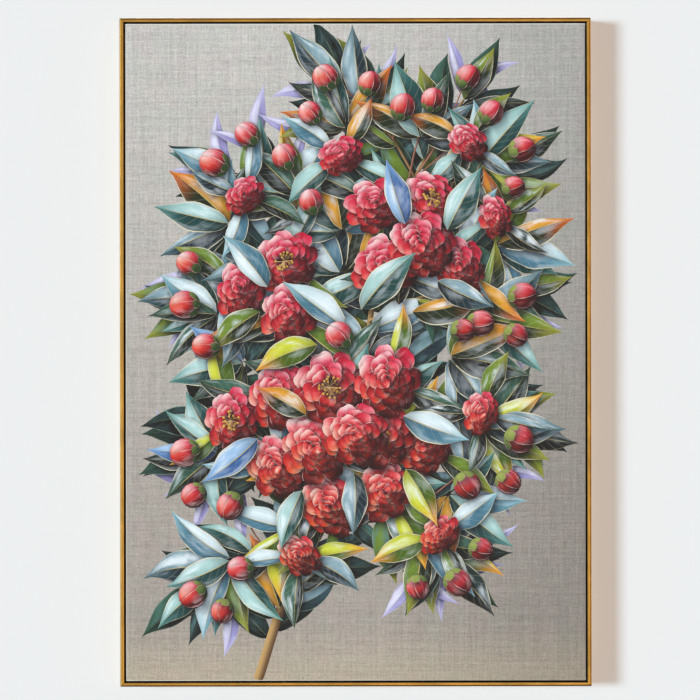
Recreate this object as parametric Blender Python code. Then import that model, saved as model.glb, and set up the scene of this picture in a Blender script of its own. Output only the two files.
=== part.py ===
"""A stretched linen canvas in a slim gold floater frame, with its bars, wedges, screws and hangers.

Metres, +Z up. The picture faces -Y, and the wall that it hangs on is the plane y = 0. The origin
lies on the wall, on the picture's centre line, level with the teeth of its two hangers.
"""

import math

import bmesh
import bpy
from mathutils import Matrix, Vector

# The canvas: a 70 x 100 cm stretched linen
CANVAS_WIDTH = 0.700
CANVAS_HEIGHT = 1.000
LINEN_THICKNESS = 0.0008
LINEN_EDGE_RADIUS = 0.0015
TURNOVER = 0.026  # linen folded onto the back of the bars

# The floater frame's moulding, an L in section
SHADOW_GAP = 0.0024  # between the canvas and the moulding
FACE_WIDTH = 0.006
FLAT_WIDTH = 0.0030  # the level band of the face; the rest rolls over to the side
ROLL_DEPTH = 0.0026
ROLL_STEPS = 5
MOULDING_DEPTH = 0.038
LEDGE_WIDTH = 0.018
LEDGE_THICKNESS = 0.0075
ARRIS = 0.0004  # small flat on a sharp edge

# The stretcher bars
BAR_WIDTH = 0.042
BAR_DEPTH = 0.025
LIP_WIDTH = 0.005  # raised outer edge that the linen bends over
LIP_FOOT = 0.009
LIP_STEP = 0.0020
BAR_SLOPE = 0.0034  # how far the bar's front falls away from the linen at its inner edge
BAR_CHAMFER = 0.0008
BRACE_WIDTH = 0.038
BRACE_DEPTH = 0.018

# The corner wedges, two in the slots of each corner
WEDGE_LENGTH = 0.027
WEDGE_SUNK = 0.013
WEDGE_WIDE = 0.016
WEDGE_NARROW = 0.007
WEDGE_THICKNESS = 0.003
WEDGE_FROM_CORNER = 0.011
WEDGE_PLANES = (0.0060, 0.0112)  # depth below the bars' back, so that a corner's two wedges pass

# Fastenings
FRAME_SCREW_INSET = 0.010  # from the moulding's inner wall
FRAME_SCREWS_ACROSS = (-0.25, 0.25)
FRAME_SCREWS_UP = (-0.40, 0.0, 0.40)
FRAME_SCREW_LENGTH = 0.020
SHANK_RADIUS = 0.0016
FRAME_HEAD_RADIUS = 0.0035
FRAME_HEAD_HEIGHT = 0.0020
SMALL_HEAD_RADIUS = 0.0030
SMALL_HEAD_HEIGHT = 0.0014
PLATE_SCREW_LENGTH = 0.010
HANGER_SCREW_LENGTH = 0.0075  # stays inside the ledge
ROUND_STEPS = 12

PLATE_SIZE = (0.036, 0.0015, 0.014)
PLATE_FROM_BAR_EDGE = 0.0035  # the plate's centre lies this far inside the bar's inner edge
PLATE_SCREWS = (-0.011, 0.011)

# The two sawtooth hangers on the top moulding
HANGER_PLACES = (-0.15, 0.15)
HANGER_LENGTH = 0.060
HANGER_HEIGHT = 0.012
HANGER_THICKNESS = 0.0009
HANGER_RAISE = 0.0015  # the toothed middle stands off the frame, so that a hook goes behind it
HANGER_FLAT_END = 0.008
HANGER_BEND = 0.004
HANGER_ABOVE_LEDGE = 0.0065
TOOTH_PITCH = 0.0024
TOOTH_DEPTH = 0.0012
HANGER_SCREW_FROM_END = 0.004

# The felt pads on the back of the frame
PAD_RADIUS = 0.008
PAD_DEPTH = 0.0035  # from the frame's back to the wall
PAD_INSET = 0.006
PAD_FROM_CORNER = 0.034
PAD_STEPS = 24

CLEARANCE = 0.0003  # between pieces that touch
CUT_EXTRA = 0.004  # how far a cutter runs past the surface it opens

# Worked out from the sizes above
HALF_WIDTH = CANVAS_WIDTH / 2
HALF_HEIGHT = CANVAS_HEIGHT / 2
WALL_X = HALF_WIDTH + SHADOW_GAP  # the moulding's inner wall
WALL_Z = HALF_HEIGHT + SHADOW_GAP
FRAME_BACK = -PAD_DEPTH
FRAME_FRONT = FRAME_BACK - MOULDING_DEPTH
LEDGE_FRONT = FRAME_BACK - LEDGE_THICKNESS
LINEN_BACK = LEDGE_FRONT - CLEARANCE
BAR_BACK = LINEN_BACK - LINEN_THICKNESS - CLEARANCE
BAR_FRONT = BAR_BACK - BAR_DEPTH
LINEN_FRONT = BAR_FRONT - CLEARANCE - LINEN_THICKNESS
BAR_X = HALF_WIDTH - LINEN_THICKNESS - CLEARANCE
BAR_Z = HALF_HEIGHT - LINEN_THICKNESS - CLEARANCE
BAR_INNER_X = BAR_X - BAR_WIDTH
BAR_INNER_Z = BAR_Z - BAR_WIDTH
MITRE_SETBACK = CLEARANCE / math.sqrt(2)
HANGER_FOOT = WALL_Z - LEDGE_WIDTH + HANGER_ABOVE_LEDGE
HANG_HEIGHT = HANGER_FOOT + TOOTH_DEPTH / 2  # the teeth's line above the picture's centre
INTO_WALL = Vector((0, 1, 0))

COLOURS = {
    "gold_moulding": ((0.62, 0.40, 0.12), 0.38, 0.75),
    "linen": ((0.56, 0.53, 0.48), 0.90, 0.0),
    "pine": ((0.72, 0.53, 0.33), 0.65, 0.0),
    "beech": ((0.66, 0.45, 0.27), 0.60, 0.0),
    "zinc_steel": ((0.62, 0.62, 0.64), 0.35, 1.0),
    "grey_felt": ((0.20, 0.20, 0.21), 0.95, 0.0),
}


def remove_all_objects():
    for thing in list(bpy.data.objects):
        bpy.data.objects.remove(thing, do_unlink=True)


def material(name):
    """The Principled material of that name, made once."""
    found = bpy.data.materials.get(name)
    if found:
        return found
    colour, roughness, metallic = COLOURS[name]
    made = bpy.data.materials.new(name)
    made.use_nodes = True
    shader = made.node_tree.nodes["Principled BSDF"]
    shader.inputs["Base Color"].default_value = (*colour, 1)
    shader.inputs["Roughness"].default_value = roughness
    shader.inputs["Metallic"].default_value = metallic
    return made


def add_object(name, bm, finish, parent):
    """A bmesh as a named object on the picture, its faces made to point out."""
    bmesh.ops.recalc_face_normals(bm, faces=bm.faces)
    mesh = bpy.data.meshes.new(name)
    bm.to_mesh(mesh)
    bm.free()
    made = bpy.data.objects.new(name, mesh)
    bpy.context.scene.collection.objects.link(made)
    made.parent = parent
    if finish:
        mesh.materials.append(material(finish))
    return made


def box(low, high):
    """A box between two corners, as a bmesh."""
    low, high = Vector(low), Vector(high)
    bm = bmesh.new()
    place = Matrix.Translation((low + high) / 2) @ Matrix.Diagonal((*(high - low), 1))
    bmesh.ops.create_cube(bm, size=1, matrix=place)
    return bm


def turned(profile, steps):
    """A solid turned about the Y axis from (radius, y) points whose first and last are on the axis."""
    bm = bmesh.new()
    points = [bm.verts.new((radius, y, 0)) for radius, y in profile]
    edges = [bm.edges.new(pair) for pair in zip(points, points[1:])]
    bmesh.ops.spin(
        bm,
        geom=points + edges,
        cent=(0, 0, 0),
        axis=INTO_WALL,
        angle=math.tau,
        steps=steps,
        use_merge=True,
    )
    bmesh.ops.remove_doubles(bm, verts=bm.verts, dist=1e-6)
    return bm


def prism(outline, low_y, high_y):
    """An outline of (x, z) points carried straight from one depth to another."""
    bm = bmesh.new()
    face = bm.faces.new([bm.verts.new((x, low_y, z)) for x, z in outline])
    grown = bmesh.ops.extrude_face_region(bm, geom=[face])["geom"]
    moved = [item for item in grown if isinstance(item, bmesh.types.BMVert)]
    bmesh.ops.translate(bm, verts=moved, vec=(0, high_y - low_y, 0))
    return bm


def mitred_length(section, out, half_out, half_along):
    """A section of (outward, y) points carried along one side of a rectangle, cut at 45 degrees."""
    along = out.cross(INTO_WALL)
    bm = bmesh.new()
    ends = []
    for sign in (-1, 1):
        ring = []
        for outward, y in section:
            reach = half_along + outward - MITRE_SETBACK
            ring.append(bm.verts.new(out * (half_out + outward) + along * sign * reach + INTO_WALL * y))
        ends.append(ring)
        bm.faces.new(ring)
    first, last = ends
    for i in range(len(section)):
        j = (i + 1) % len(section)
        bm.faces.new((first[i], first[j], last[j], last[i]))
    return bm


def cut(target, cutter):
    """Takes the cutter's solid out of the target; the cutter stays as a guide that isn't rendered."""
    cutter.hide_render = True
    cutter.display_type = "WIRE"
    boolean = target.modifiers.new("cut_" + cutter.name, "BOOLEAN")
    boolean.operation = "DIFFERENCE"
    boolean.solver = "EXACT"
    boolean.object = cutter


def holes_along_y(name, centres, radius, low_y, high_y, parent):
    """One cutter that drills a round hole into the wall direction at each (x, z) centre."""
    bm = bmesh.new()
    turn = Matrix.Rotation(math.pi / 2, 4, "X")
    for x, z in centres:
        place = Matrix.Translation((x, (low_y + high_y) / 2, z)) @ turn
        bmesh.ops.create_cone(
            bm,
            cap_ends=True,
            segments=ROUND_STEPS,
            radius1=radius,
            radius2=radius,
            depth=high_y - low_y,
            matrix=place,
        )
    return add_object(name, bm, None, parent)


def moulding_section():
    """The L of the moulding: level face, rolled outer edge, side, back, ledge and inner wall."""
    points = [(0, FRAME_FRONT + ARRIS), (ARRIS, FRAME_FRONT)]
    for step in range(ROLL_STEPS + 1):
        angle = math.pi / 2 * step / ROLL_STEPS
        across = FLAT_WIDTH + (FACE_WIDTH - FLAT_WIDTH) * math.sin(angle)
        points.append((across, FRAME_FRONT + ROLL_DEPTH * (1 - math.cos(angle))))
    points += [
        (FACE_WIDTH, FRAME_BACK - ARRIS),
        (FACE_WIDTH - ARRIS, FRAME_BACK),
        (ARRIS - LEDGE_WIDTH, FRAME_BACK),
        (-LEDGE_WIDTH, FRAME_BACK - ARRIS),
        (-LEDGE_WIDTH, LEDGE_FRONT),
        (0, LEDGE_FRONT),
    ]
    return points


def bar_section():
    """A stretcher bar: its front stands up in a lip at the outer edge and falls away inwards."""
    return [
        (0, BAR_FRONT + BAR_CHAMFER),
        (-BAR_CHAMFER, BAR_FRONT),
        (-LIP_WIDTH, BAR_FRONT),
        (-LIP_FOOT, BAR_FRONT + LIP_STEP),
        (-BAR_WIDTH, BAR_FRONT + BAR_SLOPE),
        (-BAR_WIDTH, BAR_BACK),
        (0, BAR_BACK),
    ]


def sides():
    """Each side of the picture: its name, the way out from the centre, and its two half sizes' axes."""
    return (
        ("top", Vector((0, 0, 1)), True),
        ("bottom", Vector((0, 0, -1)), True),
        ("left", Vector((-1, 0, 0)), False),
        ("right", Vector((1, 0, 0)), False),
    )


def four_lengths(prefix, section, half_x, half_z, finish, parent):
    """The four mitred lengths round a rectangle, each an object of its own."""
    made = {}
    for side, out, level in sides():
        half_out, half_along = (half_z, half_x) if level else (half_x, half_z)
        bm = mitred_length(section, out, half_out, half_along)
        made[side] = add_object(f"{prefix}_{side}", bm, finish, parent)
    return made


def frame_screw_places():
    """(side, x, z) of each screw through the frame's ledge."""
    places = []
    for side, out, level in sides():
        for along in FRAME_SCREWS_ACROSS if level else FRAME_SCREWS_UP:
            across = (WALL_Z if level else WALL_X) - FRAME_SCREW_INSET
            x, z = (along, across * out.z) if level else (across * out.x, along)
            places.append((side, x, z))
    return places


def make_canvas(parent):
    """Linen over the bars: a shallow tray with its rim folded in, open at the back."""
    bm = box((-HALF_WIDTH, LINEN_FRONT, -HALF_HEIGHT), (HALF_WIDTH, LINEN_BACK, HALF_HEIGHT))
    front_and_corners = [
        edge
        for edge in bm.edges
        if edge.verts[0].co.y < LINEN_BACK - CLEARANCE or edge.verts[1].co.y < LINEN_BACK - CLEARANCE
    ]
    bmesh.ops.bevel(
        bm,
        geom=front_and_corners,
        offset=LINEN_EDGE_RADIUS,
        offset_type="OFFSET",
        segments=2,
        profile=0.5,
        affect="EDGES",
    )
    canvas = add_object("canvas", bm, "linen", parent)
    inner_x = HALF_WIDTH - LINEN_THICKNESS
    inner_z = HALF_HEIGHT - LINEN_THICKNESS
    inner_back = LINEN_BACK - LINEN_THICKNESS
    hollow = box((-inner_x, LINEN_FRONT + LINEN_THICKNESS, -inner_z), (inner_x, inner_back, inner_z))
    cut(canvas, add_object("canvas_hollow_cut", hollow, None, parent))
    open_x = HALF_WIDTH - TURNOVER
    open_z = HALF_HEIGHT - TURNOVER
    mouth = box((-open_x, inner_back - CUT_EXTRA, -open_z), (open_x, LINEN_BACK + CUT_EXTRA, open_z))
    cut(canvas, add_object("canvas_mouth_cut", mouth, None, parent))
    return canvas


def make_wedges(bars, parent):
    """Two wedges at each corner, each in a slot sawn into the inner edge of one bar."""
    sunk = WEDGE_SUNK + CLEARANCE
    half_slot = WEDGE_THICKNESS / 2 + CLEARANCE
    slot_low = -WEDGE_WIDE / 2 - CLEARANCE
    slot_high = WEDGE_WIDE / 2 + CLEARANCE
    outline = (
        (-WEDGE_WIDE / 2, WEDGE_SUNK - WEDGE_LENGTH),
        (WEDGE_WIDE / 2, WEDGE_SUNK - WEDGE_LENGTH),
        (WEDGE_NARROW / 2, WEDGE_SUNK),
        (-WEDGE_NARROW / 2, WEDGE_SUNK),
    )
    for side, out, level in sides():
        along = out.cross(INTO_WALL)
        half_out, half_along = (BAR_INNER_Z, BAR_INNER_X) if level else (BAR_INNER_X, BAR_INNER_Z)
        depth = BAR_BACK - WEDGE_PLANES[0 if level else 1]
        for end in (-1, 1):
            place = out * half_out + along * end * (half_along - WEDGE_FROM_CORNER) + INTO_WALL * depth
            turn = Matrix((along, INTO_WALL, out)).transposed().to_4x4()
            where = Matrix.Translation(place) @ turn
            corner = ("right" if place.x > 0 else "left") if level else ("top" if place.z > 0 else "bottom")
            wedge = add_object(
                f"wedge_{side}_{corner}",
                prism(outline, -WEDGE_THICKNESS / 2, WEDGE_THICKNESS / 2),
                "beech",
                parent,
            )
            wedge.matrix_local = where
            slot = box((slot_low, -half_slot, -CUT_EXTRA), (slot_high, half_slot, sunk))
            slot_cutter = add_object(f"slot_{side}_{corner}_cut", slot, None, parent)
            slot_cutter.matrix_local = where
            cut(bars[side], slot_cutter)


def screw_profile(head_radius, head_height, length):
    """A pan-head screw along Y: its point at the front, its head's underside at y = 0."""
    return [
        (0, head_height),
        (head_radius * 0.62, head_height),
        (head_radius * 0.93, head_height * 0.62),
        (head_radius, 0),
        (SHANK_RADIUS, 0),
        (SHANK_RADIUS, -length + SHANK_RADIUS * 1.6),
        (0, -length),
    ]


def make_screw(name, head_radius, head_height, length, place, parent):
    screw = add_object(
        name,
        turned(screw_profile(head_radius, head_height, length), ROUND_STEPS),
        "zinc_steel",
        parent,
    )
    screw.location = place
    return screw


def make_frame_screws(frame, bars, canvas, parent):
    """The ten screws that go through the ledge and the folded linen into the bars."""
    hole = SHANK_RADIUS + CLEARANCE
    under_head = FRAME_BACK + CLEARANCE
    deepest = under_head - FRAME_SCREW_LENGTH - CLEARANCE
    places = frame_screw_places()
    for side in ("top", "bottom", "left", "right"):
        here = [(x, z) for place_side, x, z in places if place_side == side]
        drill = holes_along_y(f"drill_{side}_cut", here, hole, deepest, FRAME_BACK + CUT_EXTRA, parent)
        cut(frame[side], drill)
        cut(bars[side], drill)
        cut(canvas, drill)
        for number, (x, z) in enumerate(here, 1):
            make_screw(
                f"frame_screw_{side}_{number}",
                FRAME_HEAD_RADIUS,
                FRAME_HEAD_HEIGHT,
                FRAME_SCREW_LENGTH,
                (x, under_head, z),
                parent,
            )


def make_brace(bars, parent):
    """The bar across the middle, and the steel plates that tie its ends to the long bars."""
    half_length = BAR_INNER_X - CLEARANCE
    brace = add_object(
        "cross_brace",
        box(
            (-half_length, BAR_BACK - BRACE_DEPTH, -BRACE_WIDTH / 2),
            (half_length, BAR_BACK, BRACE_WIDTH / 2),
        ),
        "pine",
        parent,
    )
    hole = SHANK_RADIUS + CLEARANCE
    length, thickness, height = PLATE_SIZE
    plate_front = BAR_BACK + CLEARANCE
    under_head = plate_front + thickness + CLEARANCE
    for side, sign in (("left", -1), ("right", 1)):
        centre = sign * (BAR_INNER_X - PLATE_FROM_BAR_EDGE)
        plate = add_object(
            f"brace_plate_{side}",
            box(
                (centre - length / 2, plate_front, -height / 2),
                (centre + length / 2, plate_front + thickness, height / 2),
            ),
            "zinc_steel",
            parent,
        )
        places = [(centre + offset, 0) for offset in PLATE_SCREWS]
        drill = holes_along_y(
            f"plate_drill_{side}_cut",
            places,
            hole,
            under_head - PLATE_SCREW_LENGTH - CLEARANCE,
            under_head + CUT_EXTRA,
            parent,
        )
        for piece in (plate, brace, bars[side]):
            cut(piece, drill)
        for number, (x, z) in enumerate(places, 1):
            make_screw(
                f"plate_screw_{side}_{number}",
                SMALL_HEAD_RADIUS,
                SMALL_HEAD_HEIGHT,
                PLATE_SCREW_LENGTH,
                (x, under_head, z),
                parent,
            )


def hanger_columns():
    """(x, foot, lift) down the strip: teeth on the middle's lower edge, and a bend at each end."""
    half = HANGER_LENGTH / 2
    bend_start = half - HANGER_FLAT_END
    bend_end = bend_start - HANGER_BEND
    teeth = int(bend_end / (TOOTH_PITCH / 2)) - 1
    columns = [(-half, 0, 0), (-bend_start, 0, 0), (-bend_end, 0, HANGER_RAISE)]
    for step in range(-teeth, teeth + 1):
        foot = TOOTH_DEPTH if (step + teeth) % 2 else 0
        columns.append((step * TOOTH_PITCH / 2, foot, HANGER_RAISE))
    columns += [(bend_end, 0, HANGER_RAISE), (bend_start, 0, 0), (half, 0, 0)]
    return columns


def hanger_mesh():
    """The bent and toothed strip, its foot at z = 0 and its flat ends' front at y = 0."""
    bm = bmesh.new()
    rings = []
    for x, foot, lift in hanger_columns():
        corners = (
            (x, lift, foot),
            (x, lift, HANGER_HEIGHT),
            (x, lift + HANGER_THICKNESS, HANGER_HEIGHT),
            (x, lift + HANGER_THICKNESS, foot),
        )
        rings.append([bm.verts.new(corner) for corner in corners])
    for first, last in zip(rings, rings[1:]):
        for i in range(4):
            j = (i + 1) % 4
            bm.faces.new((first[i], first[j], last[j], last[i]))
    bm.faces.new(rings[0])
    bm.faces.new(rings[-1])
    return bm


def make_hangers(top_moulding, parent):
    hole = SHANK_RADIUS + CLEARANCE
    front = FRAME_BACK + CLEARANCE
    under_head = front + HANGER_THICKNESS + CLEARANCE
    screw_offset = HANGER_LENGTH / 2 - HANGER_SCREW_FROM_END
    for side, x in zip(("left", "right"), HANGER_PLACES):
        hanger = add_object(f"hanger_{side}", hanger_mesh(), "zinc_steel", parent)
        hanger.location = (x, front, HANGER_FOOT)
        places = [(x + sign * screw_offset, HANGER_FOOT + HANGER_HEIGHT / 2) for sign in (-1, 1)]
        drill = holes_along_y(
            f"hanger_drill_{side}_cut",
            places,
            hole,
            under_head - HANGER_SCREW_LENGTH - CLEARANCE,
            under_head + CUT_EXTRA,
            parent,
        )
        cut(hanger, drill)
        cut(top_moulding, drill)
        for number, (screw_x, screw_z) in enumerate(places, 1):
            make_screw(
                f"hanger_screw_{side}_{number}",
                SMALL_HEAD_RADIUS,
                SMALL_HEAD_HEIGHT,
                HANGER_SCREW_LENGTH,
                (screw_x, under_head, screw_z),
                parent,
            )


def make_pads(parent):
    """Four round felt pads near the corners, which touch the wall."""
    across = WALL_X - PAD_INSET
    up = WALL_Z - PAD_FROM_CORNER
    thickness = PAD_DEPTH - CLEARANCE
    profile = [(0, thickness), (PAD_RADIUS, thickness), (PAD_RADIUS, 0), (0, 0)]
    for level, z in (("lower", -up), ("upper", up)):
        for side, x in (("left", -across), ("right", across)):
            pad = add_object(f"pad_{level}_{side}", turned(profile, PAD_STEPS), "grey_felt", parent)
            pad.location = (x, FRAME_BACK + CLEARANCE, z)


def main():
    remove_all_objects()
    centre = bpy.data.objects.new("picture_centre", None)
    centre.location = (0, 0, -HANG_HEIGHT)
    bpy.context.scene.collection.objects.link(centre)
    frame = four_lengths("frame", moulding_section(), WALL_X, WALL_Z, "gold_moulding", centre)
    bars = four_lengths("stretcher", bar_section(), BAR_X, BAR_Z, "pine", centre)
    canvas = make_canvas(centre)
    make_wedges(bars, centre)
    make_frame_screws(frame, bars, canvas, centre)
    make_brace(bars, centre)
    make_hangers(frame["top"], centre)
    make_pads(centre)


main()
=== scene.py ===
import math

import bmesh
import bpy
import numpy as np
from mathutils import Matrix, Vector


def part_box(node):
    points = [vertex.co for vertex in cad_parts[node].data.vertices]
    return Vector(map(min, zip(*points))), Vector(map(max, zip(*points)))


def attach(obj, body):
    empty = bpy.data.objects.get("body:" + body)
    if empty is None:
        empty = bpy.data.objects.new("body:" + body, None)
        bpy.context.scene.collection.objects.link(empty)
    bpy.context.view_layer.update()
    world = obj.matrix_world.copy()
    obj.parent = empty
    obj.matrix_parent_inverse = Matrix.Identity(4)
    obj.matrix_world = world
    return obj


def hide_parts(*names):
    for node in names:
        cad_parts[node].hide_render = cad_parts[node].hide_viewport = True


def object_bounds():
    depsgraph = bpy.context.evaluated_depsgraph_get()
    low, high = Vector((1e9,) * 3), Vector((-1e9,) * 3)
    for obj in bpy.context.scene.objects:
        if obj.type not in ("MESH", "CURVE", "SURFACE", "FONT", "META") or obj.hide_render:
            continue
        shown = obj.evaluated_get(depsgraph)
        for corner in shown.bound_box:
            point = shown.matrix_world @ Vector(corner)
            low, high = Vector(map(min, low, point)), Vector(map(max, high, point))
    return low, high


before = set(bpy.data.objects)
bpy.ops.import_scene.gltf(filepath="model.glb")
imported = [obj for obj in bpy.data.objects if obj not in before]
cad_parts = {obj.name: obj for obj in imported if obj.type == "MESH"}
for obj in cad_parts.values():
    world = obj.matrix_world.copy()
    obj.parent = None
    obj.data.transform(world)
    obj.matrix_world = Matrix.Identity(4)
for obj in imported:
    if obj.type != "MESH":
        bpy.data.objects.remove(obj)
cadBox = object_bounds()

# A painted linen canvas in a slim gold floater frame, hung on a pale wall.
# Metres, x to the right, y into the wall, z up. The picture's front faces -y.

canvasLow, canvasHigh = (np.array(corner, float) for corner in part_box("canvas"))
linenFront = canvasLow[1]
linenBack = canvasHigh[1]
halfWidth = (canvasHigh[0] - canvasLow[0]) / 2
halfHeight = (canvasHigh[2] - canvasLow[2]) / 2
centreZ = (canvasHigh[2] + canvasLow[2]) / 2
frameBack = float(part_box("frame_top")[1][1])
frameFront = float(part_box("frame_top")[0][1])
frameOuterX = float(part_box("frame_right")[1][0])
frameTop = float(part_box("frame_top")[1][2])
millimetre = 0.001
levelSides = ("top", "bottom")
sides = (*levelSides, "left", "right")


# Meshes from arrays

def gridQuads(rows, columns, closed=False):
    # each cell of a rows x columns grid of points, as four indices; closed joins the last column to the first
    row = np.arange(rows - 1)[:, None]
    column = np.arange(columns if closed else columns - 1)[None, :]
    after = (column + 1) % columns
    corners = (
        row * columns + column, row * columns + after, (row + 1) * columns + after,
        (row + 1) * columns + column,
    )
    return np.stack(np.broadcast_arrays(*corners), axis=-1).reshape(-1, 4)


def addPiece(
    name, points, quads, material, maps=None, colours=None, numbers=None, extraFaces=(), smooth=True,
):
    # an object of those points and faces at the origin, with UV maps and attributes given for each point
    mesh = bpy.data.meshes.new(name)
    faces = [tuple(face) for face in quads.tolist()] + [tuple(face) for face in extraFaces]
    mesh.from_pydata(points.reshape(-1, 3).tolist(), [], faces)
    corner = np.empty(len(mesh.loops), np.int32)
    mesh.loops.foreach_get("vertex_index", corner)
    for mapName, places in (maps or {}).items():
        layer = mesh.uv_layers.new(name=mapName)
        layer.uv.foreach_set("vector", places.reshape(-1, 2)[corner].astype(np.float32).ravel())
    for colourName, values in (colours or {}).items():
        attribute = mesh.attributes.new(colourName, "FLOAT_COLOR", "POINT")
        opaque = np.ones((len(points.reshape(-1, 3)), 4), np.float32)
        opaque[:, :3] = values.reshape(-1, 3)
        attribute.data.foreach_set("color", opaque.ravel())
    for numberName, values in (numbers or {}).items():
        attribute = mesh.attributes.new(numberName, "FLOAT", "POINT")
        attribute.data.foreach_set("value", values.astype(np.float32).ravel())
    if smooth:
        mesh.shade_smooth()
    mesh.update()
    piece = bpy.data.objects.new(name, mesh)
    bpy.context.scene.collection.objects.link(piece)
    piece.data.materials.append(material)
    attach(piece, "root")
    return piece


def closeMesh(piece, merge=1e-7, fill=False, bridge=False, crease=35):
    # doubled points merged, rims filled or bridged, faces turned outwards, edges past the crease left sharp
    bm = bmesh.new()
    bm.from_mesh(piece.data)
    bmesh.ops.remove_doubles(bm, verts=bm.verts, dist=merge)
    rim = [edge for edge in bm.edges if edge.is_boundary]
    if fill:
        bmesh.ops.holes_fill(bm, edges=rim)
    if bridge:
        bmesh.ops.bridge_loops(bm, edges=rim)
    bmesh.ops.recalc_face_normals(bm, faces=bm.faces)
    bm.to_mesh(piece.data)
    bm.free()
    piece.data.shade_smooth()
    piece.data.set_sharp_from_angle(angle=math.radians(crease))


def linear(colour):
    # a screen colour, 0 to 255, as the linear values that shaders take
    share = np.asarray(colour, float) / 255
    return np.where(share <= 0.04045, share / 12.92, ((share + 0.055) / 1.055) ** 2.4)


def linearRgba(colour):
    return (*linear(colour).tolist(), 1.0)


# Shader building

def feed(tree, socket, value):
    if isinstance(value, bpy.types.NodeSocket):
        tree.links.new(value, socket)
    else:
        socket.default_value = value


def addNode(tree, kind, inputs=None, **settings):
    node = tree.nodes.new(kind)
    for key, value in settings.items():
        setattr(node, key, value)
    for key, value in (inputs or {}).items():
        feed(tree, node.inputs[key], value)
    return node


def maths(tree, operation, *values, clamp=False):
    node = addNode(tree, "ShaderNodeMath", dict(enumerate(values)), operation=operation, use_clamp=clamp)
    return node.outputs[0]


def times(tree, first, second, clamp=False):
    return maths(tree, "MULTIPLY", first, second, clamp=clamp)


def plus(tree, first, second):
    return maths(tree, "ADD", first, second)


def minus(tree, first, second):
    return maths(tree, "SUBTRACT", first, second)


def eased(tree, value, low, high, toLow=0.0, toHigh=1.0):
    # rises smoothly from toLow to toHigh as value goes from low to high
    inputs = {0: value, 1: low, 2: high, 3: toLow, 4: toHigh}
    return addNode(tree, "ShaderNodeMapRange", inputs, interpolation_type="SMOOTHSTEP").outputs[0]


def mixed(tree, factor, first, second, blend="MIX"):
    node = addNode(
        tree, "ShaderNodeMix", {0: factor, 6: first, 7: second}, data_type="RGBA", blend_type=blend,
    )
    return node.outputs[2]


def axesOf(tree, vector):
    return addNode(tree, "ShaderNodeSeparateXYZ", {0: vector}).outputs


def fromAxes(tree, x, y, z=0.0):
    return addNode(tree, "ShaderNodeCombineXYZ", {0: x, 1: y, 2: z}).outputs[0]


def scaled(tree, vector, scale, shift=(0, 0, 0)):
    return addNode(tree, "ShaderNodeMapping", {0: vector, 1: shift, 3: scale}).outputs[0]


def noise(tree, vector, detail=2.0, roughness=0.5, distortion=0.0):
    inputs = {
        "Vector": vector, "Scale": 1.0, "Detail": detail, "Roughness": roughness, "Distortion": distortion,
    }
    return addNode(tree, "ShaderNodeTexNoise", inputs).outputs[0]


def noises(tree, place, table):
    # a noise for each name of the table: its scale per metre, its shift, its detail and its roughness
    return {
        name: noise(tree, scaled(tree, place, scale, shift), detail, roughness)
        for name, (scale, shift, detail, roughness) in table.items()
    }


def tinted(tree, colour, value):
    # the colour times a number that changes over the surface
    return addNode(tree, "ShaderNodeVectorMath", {0: colour, 3: value}, operation="SCALE").outputs[0]


def newGroup(name, inputs, outputs):
    # a node group whose sockets are (name, kind, default) going in and (name, kind) coming out
    tree = bpy.data.node_groups.new(name, "ShaderNodeTree")
    for socketName, kind, default in inputs:
        socket = tree.interface.new_socket(name=socketName, in_out="INPUT", socket_type="NodeSocket" + kind)
        if default is not None:
            socket.default_value = default
    for socketName, kind in outputs:
        tree.interface.new_socket(name=socketName, in_out="OUTPUT", socket_type="NodeSocket" + kind)
    return tree, tree.nodes.new("NodeGroupInput").outputs, tree.nodes.new("NodeGroupOutput").inputs


def useGroup(tree, group, inputs):
    node = tree.nodes.new("ShaderNodeGroup")
    node.node_tree = group
    for key, value in inputs.items():
        feed(tree, node.inputs[key], value)
    return node.outputs


def newMaterial(name, roughness=0.5, metallic=0.0, specular=0.5):
    material = bpy.data.materials.new(name)
    material.use_nodes = True
    tree = material.node_tree
    shader = tree.nodes["Principled BSDF"]
    shader.inputs["Roughness"].default_value = roughness
    shader.inputs["Metallic"].default_value = metallic
    shader.inputs["Specular IOR Level"].default_value = specular
    return material, tree, shader


def objectPlace(tree):
    return tree.nodes.new("ShaderNodeTexCoord").outputs["Object"]


def mapPlace(tree, mapName):
    return addNode(tree, "ShaderNodeUVMap", uv_map=mapName).outputs[0]


def attributeOf(tree, name, output="Color"):
    return addNode(tree, "ShaderNodeAttribute", attribute_name=name).outputs[output]


def emboss(tree, shader, height, distance, strength=1.0):
    # the height, times the distance in metres, as bump on the shader's normal
    bump = addNode(tree, "ShaderNodeBump", {"Strength": strength, "Distance": distance, "Height": height})
    tree.links.new(bump.outputs[0], shader.inputs["Normal"])


weaveNoises = {
    "warp": ((390, 70, 0), (0, 0, 0), 1.5, 0.6),
    "weft": ((64, 370, 0), (3.1, 8.7, 0), 1.5, 0.6),
    "longWarp": ((260, 8, 0), (11.3, 2.9, 0), 1.0, 0.5),
    "longWeft": ((7, 240, 0), (5.7, 14.1, 0), 1.0, 0.5),
    "grain": ((520, 520, 0), (9.1, 1.7, 0), 1.0, 0.5),
    "cloud": ((90, 90, 0), (1.3, 4.4, 0), 1.0, 0.5),
    "patch": ((30, 24, 0), (2.0, 6.0, 0), 2.0, 0.55),
}
threadCrossings = 5200  # how fast the crossing threads alternate, in radians a metre


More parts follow.
